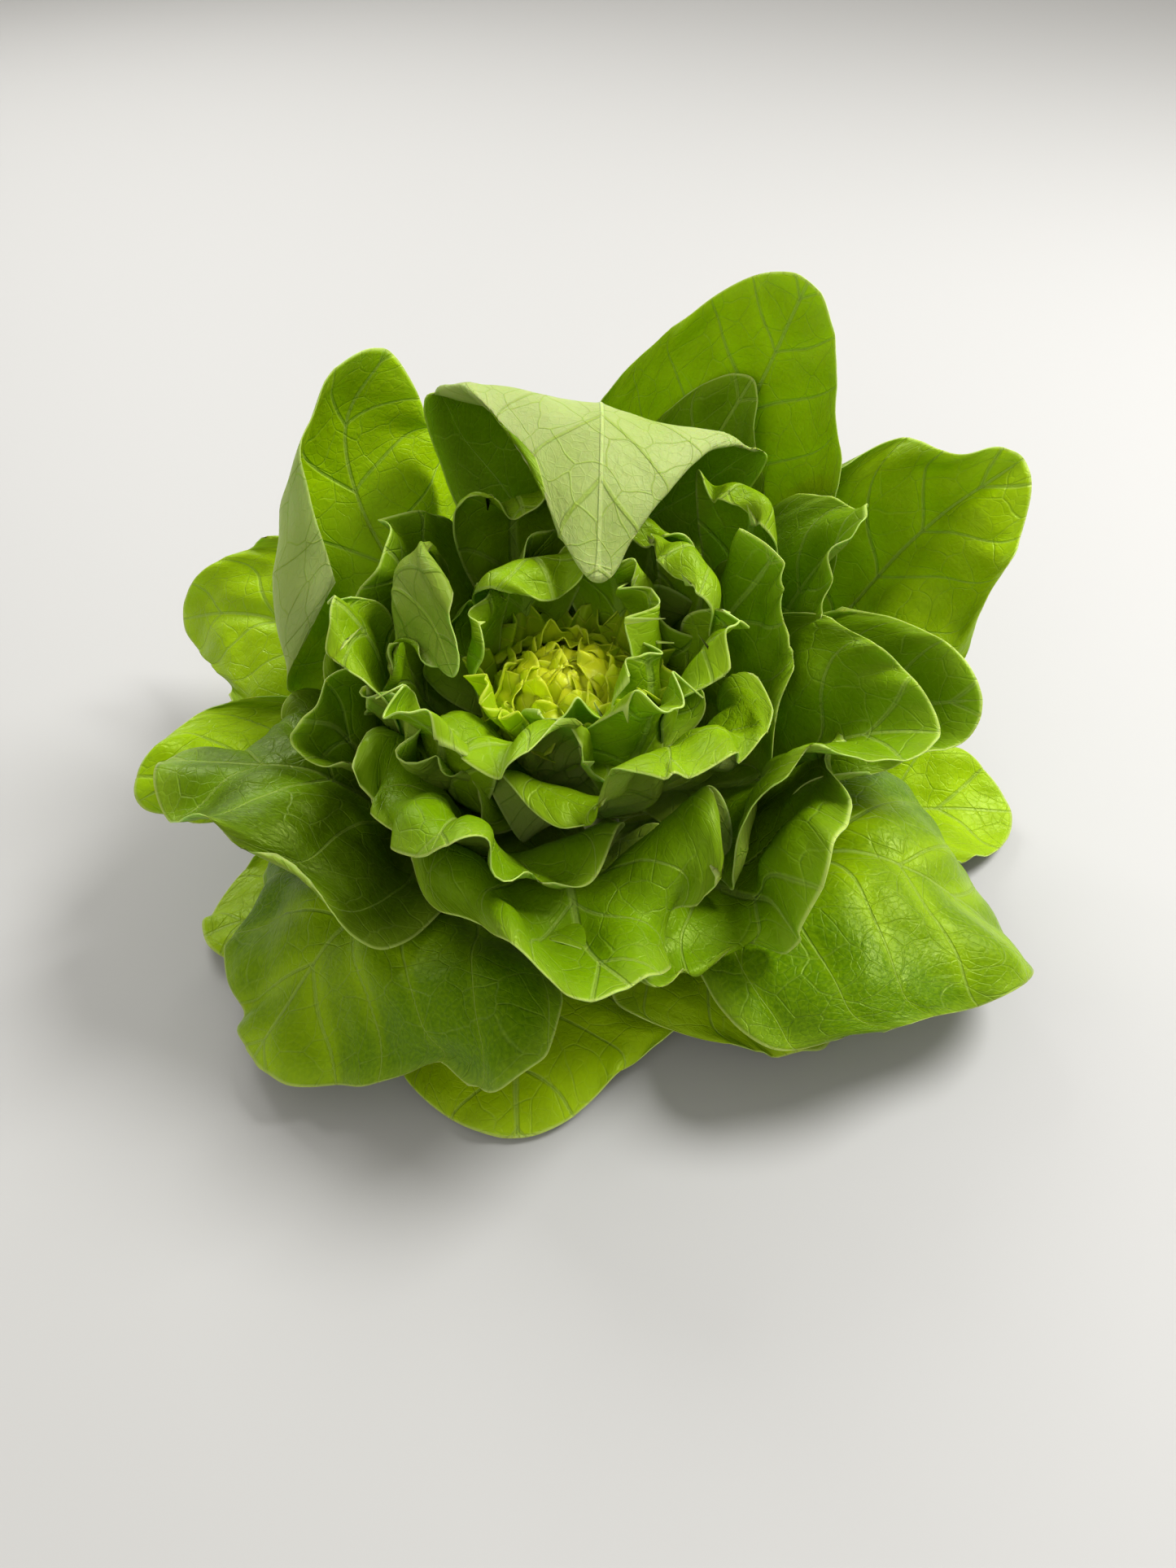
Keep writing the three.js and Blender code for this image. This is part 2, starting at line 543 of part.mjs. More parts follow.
// The middle of one leaf of the heart, index 0 being the innermost: a strip round the heart's axis that
// flares towards its tip and is crinkled most along its margin.
function heartLeafPoints(index) {
  const { count, cells, turn, foot, top, drop, radius, halfWidth, flare } = HEART_LEAVES;
  const { ease, footWidth, arch, crinkle, waves, shift, jag, jags } = HEART_LEAVES;
  const [rows, columns] = cells;
  const share = (index + 1) / count;
  const away = lerp(...radius, share ** ease);
  const points = [];
  for (let i = 0; i <= rows; i++)
    for (let j = 0; j <= columns; j++) {
      const u = i / rows;
      const v = (2 * j) / columns - 1;
      const reach = lerp(flare[0], lerp(flare[1], flare[2], share), u ** ease);
      const swing = crinkle * u * u * lerp(0.4, 1, Math.abs(v));
      const wave = swing * Math.sin(Math.PI * (waves * v + shift * index));
      const half = lerp(...halfWidth, share) * lerp(footWidth, 1, Math.sin(2 * u));
      const height = lerp(foot, top - drop * share * share, u * (1 - arch * v * v));
      points.push(
        outwards(degToRad(turn) * index - (v * half) / away)
          .multiplyScalar(away * reach + wave)
          .add(new Vector3(HEART.x, HEART.y, height + jag * Math.sin(jags * v + index) * u ** 3)),
      );
    }
  return points;
}

function solidOf(geometry) {
  const positions = geometry.toNonIndexed().getAttribute("position");
  const merged = mergeVertices(new THREE.BufferGeometry().setAttribute("position", positions), SAME);
  return new wasm.Manifold(
    new wasm.Mesh({
      numProp: 3,
      vertProperties: merged.attributes.position.array,
      triVerts: new Uint32Array(merged.index.array),
    }),
  );
}

function geometryOf(solid) {
  const made = solid.getMesh();
  const geometry = new THREE.BufferGeometry();
  geometry.setAttribute("position", new THREE.BufferAttribute(made.vertProperties, 3));
  geometry.setIndex(new THREE.BufferAttribute(made.triVerts, 1));
  geometry.computeVertexNormals();
  return geometry;
}

function stemGeometry() {
  const { cut, shoulder, shoulderHeight, top, height } = STEM;
  const profile = [[0, 0], [cut, 0], [shoulder, shoulderHeight], [top, height], [0, height]];
  const turned = profile.map(([r, z]) => new THREE.Vector2(r, z));
  return new THREE.LatheGeometry(turned, STEM.sides).rotateX(Math.PI / 2);
}

function mesh(name, geometry, colour) {
  const look = { color: colour, roughness: 0.5, metalness: 0, side: THREE.DoubleSide };
  const material = new THREE.MeshStandardMaterial(look);
  const made = new THREE.Mesh(geometry, material);
  made.name = name;
  return made;
}

const lettuce = new THREE.Group();
lettuce.add(mesh("stem", stemGeometry(), STEM_COLOUR));
lettuce.add(mesh("heart", heartGeometry(), HEART_COLOUR));
const settled = [];
LEAVES.forEach((leaf, index) => {
  const share = index / (LEAVES.length - 1);
  const waves = leaf.ruffle[0];
  const cells = waves > CURLED_FROM ? CELLS.curled : waves > WAVED_FROM ? CELLS.waved : CELLS.plain;
  const home = bladePoints(leaf, lerp(ROOTS.high, ROOTS.low, share), lerp(...ROOTS.collar, share), cells);
  const points = settle(home, cells, leaf.lift ?? 0, settled);
  settled.push(asObstacle(points, cells));
  lettuce.add(mesh(leaf.name, bladeGeometry(points, cells), LEAF_COLOUR));
});
export default lettuce;
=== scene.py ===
"""A butterhead lettuce: fine leaves and heart over the frame's plain ones, a finish for its stem,
and the stage.

Lengths are metres and angles radians. Each leaf of the frame is a thin closed blade whose two sides
are the same net of triangles. A leaf here is that net, found again by walking over it, with a fine
smooth surface drawn through it and then ruffled, puckered and veined.
"""

import math

import bmesh
import bpy
import numpy as np
from mathutils import Matrix, Vector


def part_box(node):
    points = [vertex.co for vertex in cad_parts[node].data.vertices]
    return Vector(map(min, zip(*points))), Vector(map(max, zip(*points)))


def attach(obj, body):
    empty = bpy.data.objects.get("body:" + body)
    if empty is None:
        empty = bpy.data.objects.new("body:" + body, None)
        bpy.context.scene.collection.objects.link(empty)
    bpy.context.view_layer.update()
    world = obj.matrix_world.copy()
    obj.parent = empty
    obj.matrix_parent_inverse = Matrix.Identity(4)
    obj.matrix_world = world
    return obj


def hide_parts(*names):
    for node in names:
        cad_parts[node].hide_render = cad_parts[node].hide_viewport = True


bl_info = {
    "name": "Butterhead lettuce",
    "version": (1, 0, 0),
    "blender": (4, 5, 0),
    "location": "View3D > Sidebar > Lettuce",
    "description": "Builds the leaves, heart and stem of a butterhead lettuce over its frame",
    "category": "Object",
}

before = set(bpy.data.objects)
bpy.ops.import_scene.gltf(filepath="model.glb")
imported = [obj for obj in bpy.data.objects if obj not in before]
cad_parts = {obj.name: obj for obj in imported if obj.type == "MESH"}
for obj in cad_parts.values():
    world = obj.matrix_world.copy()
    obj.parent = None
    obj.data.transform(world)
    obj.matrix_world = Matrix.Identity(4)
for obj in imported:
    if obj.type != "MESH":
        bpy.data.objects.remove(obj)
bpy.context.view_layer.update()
MM = 0.001
MM_PER_METRE = 1000

# The frame's leaves
NETS = ((8, 6), (9, 8), (10, 12))  # cells along and across
ROW_SPACING = 1.25  # power by which the rows lie closer towards the root
ROW_BOW = 0.36  # how far behind the middle of the tip its corners lie, as a share of the length
BLADE = 0.8 * MM  # thickness
SAME_POINT = 0.02 * MM  # points closer than this are one
CORNER_EDGES = 5  # how many edges meet at the corner from which a net is walked

# The fine leaves
SOFTNESS = 0.6  # 0 where a fine leaf passes through its net's points, 1 where it only follows them
ROUND_FROM = 0.5  # share of a leaf's length from which its outline is drawn in to a round tip
ROUNDNESS = 0.75  # 0 for a tip with two corners, 1 for a half circle
SQUARER = {  # the roundness of the leaves whose tip is squarer
    "leaf_folded_inwards": 0.3,
    "leaf_folded_over": 0.2,
    "leaf_left_folded": 0.0,
    "leaf_back_upright": 0.25,
    "leaf_right_cupped": 0.65,
    "leaf_right_front_low": 0.25,
    "leaf_front_left_low": 0.55,
    "leaf_front_low": 0.6,
}
FINE_ROWS = (40, 100)  # fewest and most cells along a leaf
FINE_COLUMNS = (16, 38)  # fewest and most from its midrib to its margin
PLAIN_FOOT = 25 * MM  # length of foot that isn't ruffled
PLEATS_FROM = 0.6  # share of ruffles from which a leaf has broad folds too
VEIN_SLANT = 1.35  # how far side veins run along a leaf for each millimetre across it
VEIN_BEND = 0.86  # power by which they bend towards the tip
LOWEST_MIDDLE, LOWEST_SIDE = 0.45 * MM, 0.05 * MM  # heights that a leaf keeps above the floor

# The small leaves
GOLDEN_ANGLE = math.radians(137.5)  # from one leaf of the heart to the next
HEART_CELLS, COLLAR_CELLS, CURL_CELLS = (26, 30), (29, 40), (44, 48)  # along and across
HEART_THICKNESS, CURL_THICKNESS = 0.35 * MM, 0.45 * MM
HEART_LEAF_LENGTH = 1.7  # as a multiple of its distance from the heart's middle
COLLAR_HEIGHT = 40 * MM  # from the feet of the collar to the top of the heart
CURL_FOOT = 40 * MM  # how far up a leaf the finish takes a curl to begin

# Seeds, to which each leaf adds its own number
SEEDS_PER_LEAF = 10
HEART_DRAWS, HEART_CRUMPLES, HEART_BULGES = 100, 200, 300
COLLAR_DRAWS, COLLAR_HILLS = 500, 600
CURL_HILLS, CURL_PUCKERS = 700, 720

# What sets each leaf apart: the finish of its two sides, its share of ruffles and of puckers, and
# how far its green goes from the lighter to the deeper, which is partly the leaf's own tone and
# partly painted light and shade, set leaf by leaf
LEAVES = {
    "leaf_inner_right": ("tender", "dim", 1.3, 1.0, 0.3),
    "leaf_inner_back": ("tender", "dim", 1.2, 1.0, 0.3),
    "leaf_inner_front_left": ("tender", "dim", 1.4, 1.0, 0.4),
    "leaf_inner_front": ("tender", "dim", 1.3, 1.0, 0.4),
    "leaf_folded_inwards": ("mid", "dim", 0.5, 0.6, 0.4),
    "leaf_layered_left": ("mid", "dim", 1.2, 1.0, 0.3),
    "leaf_front_curl": ("mid", "dim", 1.3, 1.0, 0.2),
    "leaf_right_tongue": ("mid", "dim", 1.2, 1.0, 0.2),
    "leaf_front_waves": ("mid", "dim", 0.95, 0.9, 0.25),
    "leaf_right_cup": ("mid", "dim", 1.1, 1.2, 0.25),
    "leaf_left_wave": ("mid", "dim", 1.1, 1.0, 0.3),
    "leaf_folded_over": ("mid", "pale", 0.5, 0.5, 0.3),
    "leaf_back_right_rim": ("mid", "dim", 0.9, 1.0, 0.2),
    "leaf_front_sweep": ("mid", "dim", 1.0, 1.0, 0.15),
    "leaf_back_left_rim": ("mid", "dim", 1.1, 1.0, 0.2),
    "leaf_right_wave": ("mid", "dim", 0.9, 1.0, 0.15),
    "leaf_left_lobes": ("mid", "dim", 1.2, 1.1, 1.4),
    "leaf_back_right_dark": ("mid", "dim", 0.9, 1.0, 0.6),
    "leaf_left_out": ("outer", "dim", 0.8, 1.0, 0.3),
    "leaf_left_folded": ("outer", "pale", 0.5, 0.6, 0.1),
    "leaf_back_upright": ("outer", "dim", 0.6, 0.7, 0.0),
    "leaf_right_cupped": ("outer", "dim", 1.5, 1.0, 0.15),
    "leaf_right_front_low": ("outer", "dim", 0.9, 0.8, 1.05),
    "leaf_front_left_low": ("outer", "dim", 0.9, 1.1, 1.0),
    "leaf_back_left_low": ("outer", "pale", 0.7, 0.9, 0.1),
    "leaf_back_low": ("outer", "dim", 0.8, 1.0, 0.3),
    "leaf_right_low": ("outer", "dim", 0.8, 1.0, 0.2),
    "leaf_back_right_low": ("outer", "dim", 0.8, 1.0, 0.3),
    "leaf_left_low": ("outer", "pale", 0.7, 1.0, 0.3),
    "leaf_right_front_under": ("outer", "dim", 0.6, 1.0, 0.3),
    "leaf_front_low": ("outer", "dim", 0.5, 0.8, 0.0),
}

# The small leaves that curl in the gaps round the heart: the node that each stands beside, its
# bearing in degrees, its half width and the height of its waves in mm, the depth of its green, and
# its path as distances from the heart's middle and heights in mm
CURLS = {
    "curl_back_left": (
        "heart", 118, 20, 3.0, 0.45, (28, 76), (28, 94), (24, 107), (15, 110), (8, 102)
    ),
    "curl_back_right": ("heart", 58, 18, 4.5, 0.3, (28, 74), (28, 92), (24, 102), (20, 108)),
    "curl_right": ("heart", 14, 18, 5.0, 0.2, (27, 72), (27, 88), (22, 98), (22, 106)),
    "curl_right_front": ("heart", -30, 14, 4.5, 0.1, (29, 66), (28, 80), (24, 90), (26, 99)),
    "curl_left": ("heart", 165, 15, 4.0, 0.3, (27, 72), (27, 88), (22, 98), (24, 104)),
    "curl_front": ("heart", -88, 15, 4.5, 0.0, (26, 64), (25, 76), (24, 86), (30, 93)),
    "curl_outer_right": (
        "leaf_inner_right", 24, 19, 4.0, 0.4, (40, 68), (42, 90), (43, 106), (36, 114), (28, 110)
    ),
    "curl_outer_back": (
        "leaf_inner_back", 60, 19, 4.5, 0.5, (48, 68), (50, 88), (50, 102), (43, 110), (35, 107)
    ),
    "curl_outer_left": (
        "leaf_layered_left", -175, 18, 5.0, 0.5, (50, 66), (53, 86), (56, 100), (64, 109)
    ),
    "curl_outer_front_left": (
        "leaf_inner_front_left", -135, 17, 5.0, 0.4, (44, 62), (46, 80), (50, 94), (58, 103)
    ),
    "curl_outer_front": (
        "leaf_inner_front", -55, 17, 5.0, 0.2, (32, 62), (33, 80), (37, 94), (46, 103)
    ),
    "curl_outer_front_right": (
        "leaf_inner_right", -13, 17, 5.0, 0.3, (32, 66), (34, 84), (38, 98), (47, 107)
    ),
    "curl_far_back": (
        "leaf_inner_back", 108, 20, 5.0, 0.6, (54, 66), (57, 88), (56, 104), (49, 113), (41, 110)
    ),
    "curl_far_right": (
        "leaf_back_right_rim", 40, 19, 4.5, 0.5, (68, 70), (71, 92), (72, 108), (65, 118), (57, 115)
    ),
}

# Colours that go with those of the settings
PALE_FOOT, PALE_FOOT_UNDER = (0.42, 0.52, 0.08), (0.50, 0.58, 0.18)
# the lighter green near a margin is partly the thin margin's own colour and partly a painted
# highlight
PALE_RIM_AND_HIGHLIGHT = (0.36, 0.52, 0.03)
INSIDE_MARGIN, INSIDE_MARGIN_UNDER = (0.52, 0.66, 0.16), (0.52, 0.66, 0.20)
MARGIN_GREENS = ((0.50, 0.66, 0.13), (0.34, 0.52, 0.07))
OUTER_DEEP = (0.085, 0.19, 0.0005)
# the colour at the foot of a heart leaf is painted shade, olive where the small leaves go down into
# the heart
HEART_FOOT_SHADE, HEART_VEIN, HEART_MARGIN = (0.50, 0.46, 0.04), (0.72, 0.76, 0.08), (0.70, 0.78, 0.10)
STEM_GREENS, STEM_BROWN = ((0.66, 0.70, 0.34), (0.50, 0.58, 0.22)), (0.34, 0.17, 0.05)
FLOOR_SHADE = (0.51, 0.505, 0.49)

# The stage
FLOOR_SIZE = 6
WORLD_COLOUR, WORLD_STRENGTH = (1.0, 0.97, 0.91, 1.0), 0.42
LIGHTS = {  # place, size across, and share of the main light's power
    "key": ((0.80, 0.30, 1.05), 0.6, 1.0),
    "back": ((-0.55, 1.0, 0.9), 0.7, 0.45),
    "front": ((-0.5, -1.1, 0.9), 1.0, 0.15),
}
LIGHTS_AIM = (0, 0, 0.06)
CAMERA_PLACE = (0.00617, -0.2549, 0.28847)
LENS, SENSOR = 26.15, 36.0  # in mm, the sensor along the picture's longer side
NEAREST = 0.005  # what the camera still sees


# ---------------------------------------------------------------- sizes and colours


class LeafSettings(bpy.types.PropertyGroup):
    thickness: bpy.props.FloatProperty(
        name="Thickness", description="Thickness of a leaf between its veins",
        default=0.6 * MM, unit="LENGTH",
    )
    ruffle: bpy.props.FloatProperty(
        name="Ruffle", description="Height of the small waves along a margin",
        default=3.2 * MM, unit="LENGTH",
    )
    pleat: bpy.props.FloatProperty(
        name="Pleat", description="Height of the broad folds that run in from a margin",
        default=3.5 * MM, unit="LENGTH",
    )
    pucker: bpy.props.FloatProperty(
        name="Pucker", description="Height of the blisters between veins",
        default=1.6 * MM, unit="LENGTH",
    )
    valley: bpy.props.FloatProperty(
        name="Valley", description="Depth of the soft valley along the midrib",
        default=2.4 * MM, unit="LENGTH",
    )
    vein_spacing: bpy.props.FloatProperty(
        name="Vein spacing", description="Distance between side veins at the midrib",
        default=23 * MM, unit="LENGTH",
    )
    midrib: bpy.props.FloatProperty(
        name="Midrib", description="How far the midrib stands out under a leaf's foot",
        default=2.2 * MM, unit="LENGTH",
    )
    cell: bpy.props.FloatProperty(
        name="Cell", description="Size of a leaf's finest faces",
        default=1.9 * MM, unit="LENGTH",
    )
    mid_green: bpy.props.FloatVectorProperty(
        name="Middle green", description="Upper side of the middle leaves",
        default=(0.165, 0.31, 0.001), size=3, subtype="COLOR",
    )
    outer_green: bpy.props.FloatVectorProperty(
        name="Outer green", description="Upper side of the outer leaves",
        default=(0.34, 0.52, 0.001), size=3, subtype="COLOR",
    )
    tender_green: bpy.props.FloatVectorProperty(
        name="Tender green", description="Upper side of the inner leaves",
        default=(0.22, 0.38, 0.002), size=3, subtype="COLOR",
    )
    under_green: bpy.props.FloatVectorProperty(
        name="Under green", description="Pale under side of the outer leaves",
        default=(0.42, 0.51, 0.175), size=3, subtype="COLOR",
    )
    inner_under: bpy.props.FloatVectorProperty(
        name="Inner under green", description="Under side of the other leaves",
        default=(0.23, 0.33, 0.03), size=3, subtype="COLOR",
    )
    vein_green: bpy.props.FloatVectorProperty(
        name="Vein green", description="Veins seen from above",
        default=(0.42, 0.58, 0.10), size=3, subtype="COLOR",
    )


class HeartSettings(bpy.types.PropertyGroup):
    leaves: bpy.props.IntProperty(
        name="Leaves", description="Small leaves in the heart", default=38, min=5
    )
    collar: bpy.props.IntProperty(
        name="Collar", description="Green leaves round the heart", default=9, min=0
    )
    yellow: bpy.props.FloatVectorProperty(
        name="Yellow", description="The innermost leaves",
        default=(0.82, 0.93, 0.015), size=3, subtype="COLOR",
    )
    green: bpy.props.FloatVectorProperty(
        name="Green", description="The heart's outermost leaves",
        default=(0.34, 0.54, 0.006), size=3, subtype="COLOR",
    )


class StageSettings(bpy.types.PropertyGroup):
    floor: bpy.props.FloatVectorProperty(
        name="Floor", description="Colour of the floor",
        default=(0.55, 0.545, 0.53), size=3, subtype="COLOR",
    )
    key: bpy.props.FloatProperty(
        name="Key", description="Power of the main light", default=18.0, unit="POWER"
    )
    pitch: bpy.props.FloatProperty(
        name="Pitch", description="How far the camera looks down",
        default=math.radians(45), unit="ROTATION",
    )


# ---------------------------------------------------------------- shader expressions


class Maths:
    """A socket whose operators add Math nodes, so that shader maths is written as expressions."""

    def __init__(self, shader, socket):
        self.shader = shader
        self.socket = socket

    def _do(self, operation, *values):
        return self.shader.node("ShaderNodeMath", {"operation": operation}, values)

    def __add__(self, other):
        return self._do("ADD", self, other)

    __radd__ = __add__

    def __sub__(self, other):
        return self._do("SUBTRACT", self, other)

    def __rsub__(self, other):
        return self._do("SUBTRACT", other, self)

    def __mul__(self, other):
        return self._do("MULTIPLY", self, other)

    __rmul__ = __mul__

    def __truediv__(self, other):
        return self._do("DIVIDE", self, other)

    def __rtruediv__(self, other):
        return self._do("DIVIDE", other, self)

    def __pow__(self, other):
        return self._do("POWER", self, other)

    def __rpow__(self, other):
        return self._do("POWER", other, self)

    def __abs__(self):
        return self._do("ABSOLUTE", self)

    def wave(self):
        """0 at whole numbers and 0.5 halfway between them."""
        return self._do("PINGPONG", self, 0.5)

    def ramp(self, start, end, low=0.0, high=1.0):
        """low before start and high after end, smoothly."""
        settings = {"interpolation_type": "SMOOTHSTEP"}
        return self.shader.node("ShaderNodeMapRange", settings, (self, start, end, low, high))

    def fade(self, start, end, most=1.0):
        """most before start and nothing after end, smoothly."""
        return self.ramp(start, end, most, 0.0)


class Shader:
    """A new material and its nodes. Sockets are given by place or by name."""

    def __init__(self, name):
        self.material = bpy.data.materials.new(name)
        self.material.use_nodes = True
        self.tree = self.material.node_tree
        self.surface = self.tree.nodes["Principled BSDF"]

    def node(self, kind, settings=None, inputs=(), output=0):
        made = self.tree.nodes.new(kind)
        for key, value in (settings or {}).items():
            setattr(made, key, value)
        pairs = inputs.items() if isinstance(inputs, dict) else enumerate(inputs)
        for key, value in pairs:
            self.put(made.inputs[key], value)
        return Maths(self, made.outputs[output])

    def put(self, socket, value):
        if isinstance(value, Maths):
            self.tree.links.new(value.socket, socket)
        elif isinstance(value, (tuple, list)) and socket.type == "RGBA":
            socket.default_value = (*value, 1.0)[:4]
        else:
            socket.default_value = value

    def mix(self, share, a, b):
        """Colour a where share is 0 and b where it is 1."""
        return self.node("ShaderNodeMix", {"data_type": "RGBA"}, {0: share, 6: a, 7: b}, output=2)

    def noise(self, vector, scale, detail=2.0, output=0):
        inputs = {"Vector": vector, "Scale": scale, "Detail": detail, "Roughness": 0.5}
        return self.node("ShaderNodeTexNoise", {}, inputs, output)

    def bump(self, strength, distance, height):
        inputs = {"Strength": strength, "Distance": distance, "Height": height}
        return self.node("ShaderNodeBump", {}, inputs)

    def places(self):
        """The places in the frame, in metres."""
        return self.node("ShaderNodeTexCoord", {}, output=3)

    def plane(self):
        """The places in a leaf's own plane, in metres."""
        return self.node("ShaderNodeUVMap", {"uv_map": "leaf"})

    def attribute(self, name):
        """What a mesh holds at its points under this name."""
        return self.node("ShaderNodeAttribute", {"attribute_name": name}, output=2)

    def coordinate(self, vector, axis):
        return self.node("ShaderNodeSeparateXYZ", {}, (vector,), output=axis)

    def finish(self, **sockets):
        for name, value in sockets.items():
            self.put(self.surface.inputs[name.replace("_", " ")], value)
        return self.material


# ---------------------------------------------------------------- finishes


def scaled(colour, factor):
    """A lighter or darker tone of a colour."""
    return tuple(min(1.0, factor * c) for c in colour)


def leaf_places(shader):
    """Distances from the midrib, along it and to the margin, in mm, and the leaf's own plane."""
    plane = shader.plane()
    across = abs(shader.coordinate(plane, 0))
    along = shader.coordinate(plane, 1)
    rim = shader.attribute("rim")
    return across * MM_PER_METRE, along * MM_PER_METRE, rim * MM_PER_METRE, plane


def vein_distances(across, along, spacing):
    """How far the midrib and the nearest side vein are, as multiples of their half widths."""
    rank = (along - across**VEIN_BEND * VEIN_SLANT) / spacing
    return across / along.ramp(0, 100, 3.6, 0.8), rank.wave() / across.ramp(0, 50, 0.05, 0.014)


def vein_lines(shader, off_midrib, off_side, along, plane):
    """Shares of midrib, side veins, the net between them and its finest mesh, from 0 to 1."""
    midrib = off_midrib.fade(0.4, 1.0)
    side = off_side.fade(0.3, 1.0) * along.ramp(8, 30)
    swirl = shader.noise(plane, 45.0, output=1)
    multiply_add = {"operation": "MULTIPLY_ADD"}
    bent = shader.node("ShaderNodeVectorMath", multiply_add, (swirl, (0.012, 0.012, 0), plane))
    cells = {"feature": "DISTANCE_TO_EDGE", "voronoi_dimensions": "2D"}
    coarse = shader.node("ShaderNodeTexVoronoi", cells, {"Vector": bent, "Scale": 90.0})
    fine = shader.node("ShaderNodeTexVoronoi", cells, {"Vector": bent, "Scale": 330.0})
    return midrib, side, coarse.fade(0.0, 0.035), fine.fade(0.0, 0.09)


def leaf_relief(shader, midrib, side, net, mesh, plane, depth):
    """Bump of veins sunk in or standing out, and of the fine blistered skin between them."""
    skin = shader.noise(plane, 230.0, 3.0) * 1.3 + shader.noise(plane, 700.0) * 0.3
    patch = shader.noise(plane, 40.0).ramp(0.4, 0.7, 0.15, 1.0)
    wrinkle = abs(shader.noise(plane, 330.0) - 0.5) * patch * -1.0
    veins = (midrib * 0.9 + side * 0.8 + net * 0.33 + mesh * 0.12) * depth
    return shader.bump(0.7, 0.7 * MM, veins + skin * 0.7 + wrinkle)


def upper_finish(name, green, deep, vein, spacing):
    """Satin upper side: pale veins with painted shade in their sunken middles, on green deeper in
    patches, lighter at the foot, and a margin band partly painted highlight.
    """
    shader = Shader(name)
    across, along, rim, plane = leaf_places(shader)
    off_midrib, off_side = vein_distances(across, along, spacing / MM)
    midrib, side, net, mesh = vein_lines(shader, off_midrib, off_side, along, plane)
    # painted shade: a dark line down the middle of the sunken side veins near the midrib, and along
    # the sunken midrib further up
    groove_shade = off_side.fade(0.1, 0.4) * across.fade(20, 48) * along.ramp(8, 30)
    groove_shade = groove_shade + off_midrib.fade(0.15, 0.45) * along.ramp(35, 60) * 1.3
    halo = off_side.fade(1.0, 8.0) * across.ramp(10, 45, 1.0, 0.3)
    cloud = shader.noise(plane, 26.0, 3.0).ramp(0.35, 0.7)
    speck = shader.noise(plane, 900.0).ramp(0.3, 0.75)
    # the leaf's own depth is partly its tone and partly painted light and shade; cloud is tone that
    # differs at random
    depth = (cloud * 0.35 + shader.attribute("depth")) * across.ramp(6, 55, 0.55, 1.05)
    base = shader.mix(depth, green, deep)
    base = shader.mix(speck * 0.15, base, scaled(green, 1.5))
    base = shader.mix(along.fade(12, 48, 0.8), base, PALE_FOOT)
    # a lighter band within 9 mm of the margin: partly the margin's own paler green, partly a
    # painted highlight
    base = shader.mix(rim.fade(0.0, 9.0, 0.3), base, PALE_RIM_AND_HIGHLIGHT)
    base = shader.mix(halo * 0.3, base, scaled(green, 1.35))
    base = shader.mix(mesh * 0.05 + net * 0.13, base, vein)
    base = shader.mix(side * 0.4, base, vein)
    base = shader.mix(groove_shade * 0.35, base, deep)
    base = shader.mix(midrib * 0.42, base, vein)
    base = shader.mix(rim.fade(0.15, 0.9, 0.8), base, INSIDE_MARGIN)
    return shader.finish(
        Base_Color=base,
        Roughness=shader.noise(plane, 130.0).ramp(0.3, 0.7, 0.31, 0.43),
        Normal=leaf_relief(shader, midrib, side, net, mesh, plane, -1.0),
        Subsurface_Weight=0.35,
        Subsurface_Radius=(0.8, 1.0, 0.05),
        Subsurface_Scale=1.5 * MM,
        Specular_IOR_Level=0.26,
        Specular_Tint=(0.8, 1.0, 0.2),
    )


def under_finish(name, pale, green, spacing):
    """Matt pale under side, with its net of veins drawn in darker green."""
    shader = Shader(name)
    across, along, rim, plane = leaf_places(shader)
    off_midrib, off_side = vein_distances(across, along, spacing / MM)
    midrib, side, net, mesh = vein_lines(shader, off_midrib, off_side, along, plane)
    cloud = shader.noise(plane, 22.0, 3.0).ramp(0.35, 0.7)
    base = shader.mix(cloud * 0.35, pale, green)
    base = shader.mix(along.fade(20, 60, 0.6), base, PALE_FOOT_UNDER)
    base = shader.mix(mesh * 0.06 + net * 0.42, base, green)
    base = shader.mix(side * 0.4, base, green)
    base = shader.mix(midrib * 0.6, base, scaled(pale, 1.35))
    base = shader.mix(rim.fade(0.15, 0.9, 0.6), base, INSIDE_MARGIN_UNDER)
    return shader.finish(
        Base_Color=base,
        Roughness=0.5,
        Normal=leaf_relief(shader, midrib, side, net, mesh, plane, 1.0),
        Subsurface_Weight=0.4,
        Subsurface_Radius=(0.5, 1.0, 0.1),
        Subsurface_Scale=2.0 * MM,
        Specular_IOR_Level=0.25,
        Specular_Tint=(0.85, 1.0, 0.45),
    )


def margin_finish():
    """The thin pale line round a leaf."""
    shader = Shader("leaf margin")
    patch = shader.noise(shader.plane(), 60.0).ramp(0.35, 0.7)
    return shader.finish(
        Base_Color=shader.mix(patch, *MARGIN_GREENS),
        Roughness=0.4,
        Subsurface_Weight=0.3,
        Subsurface_Radius=(0.5, 1.0, 0.1),
        Subsurface_Scale=1.5 * MM,
    )


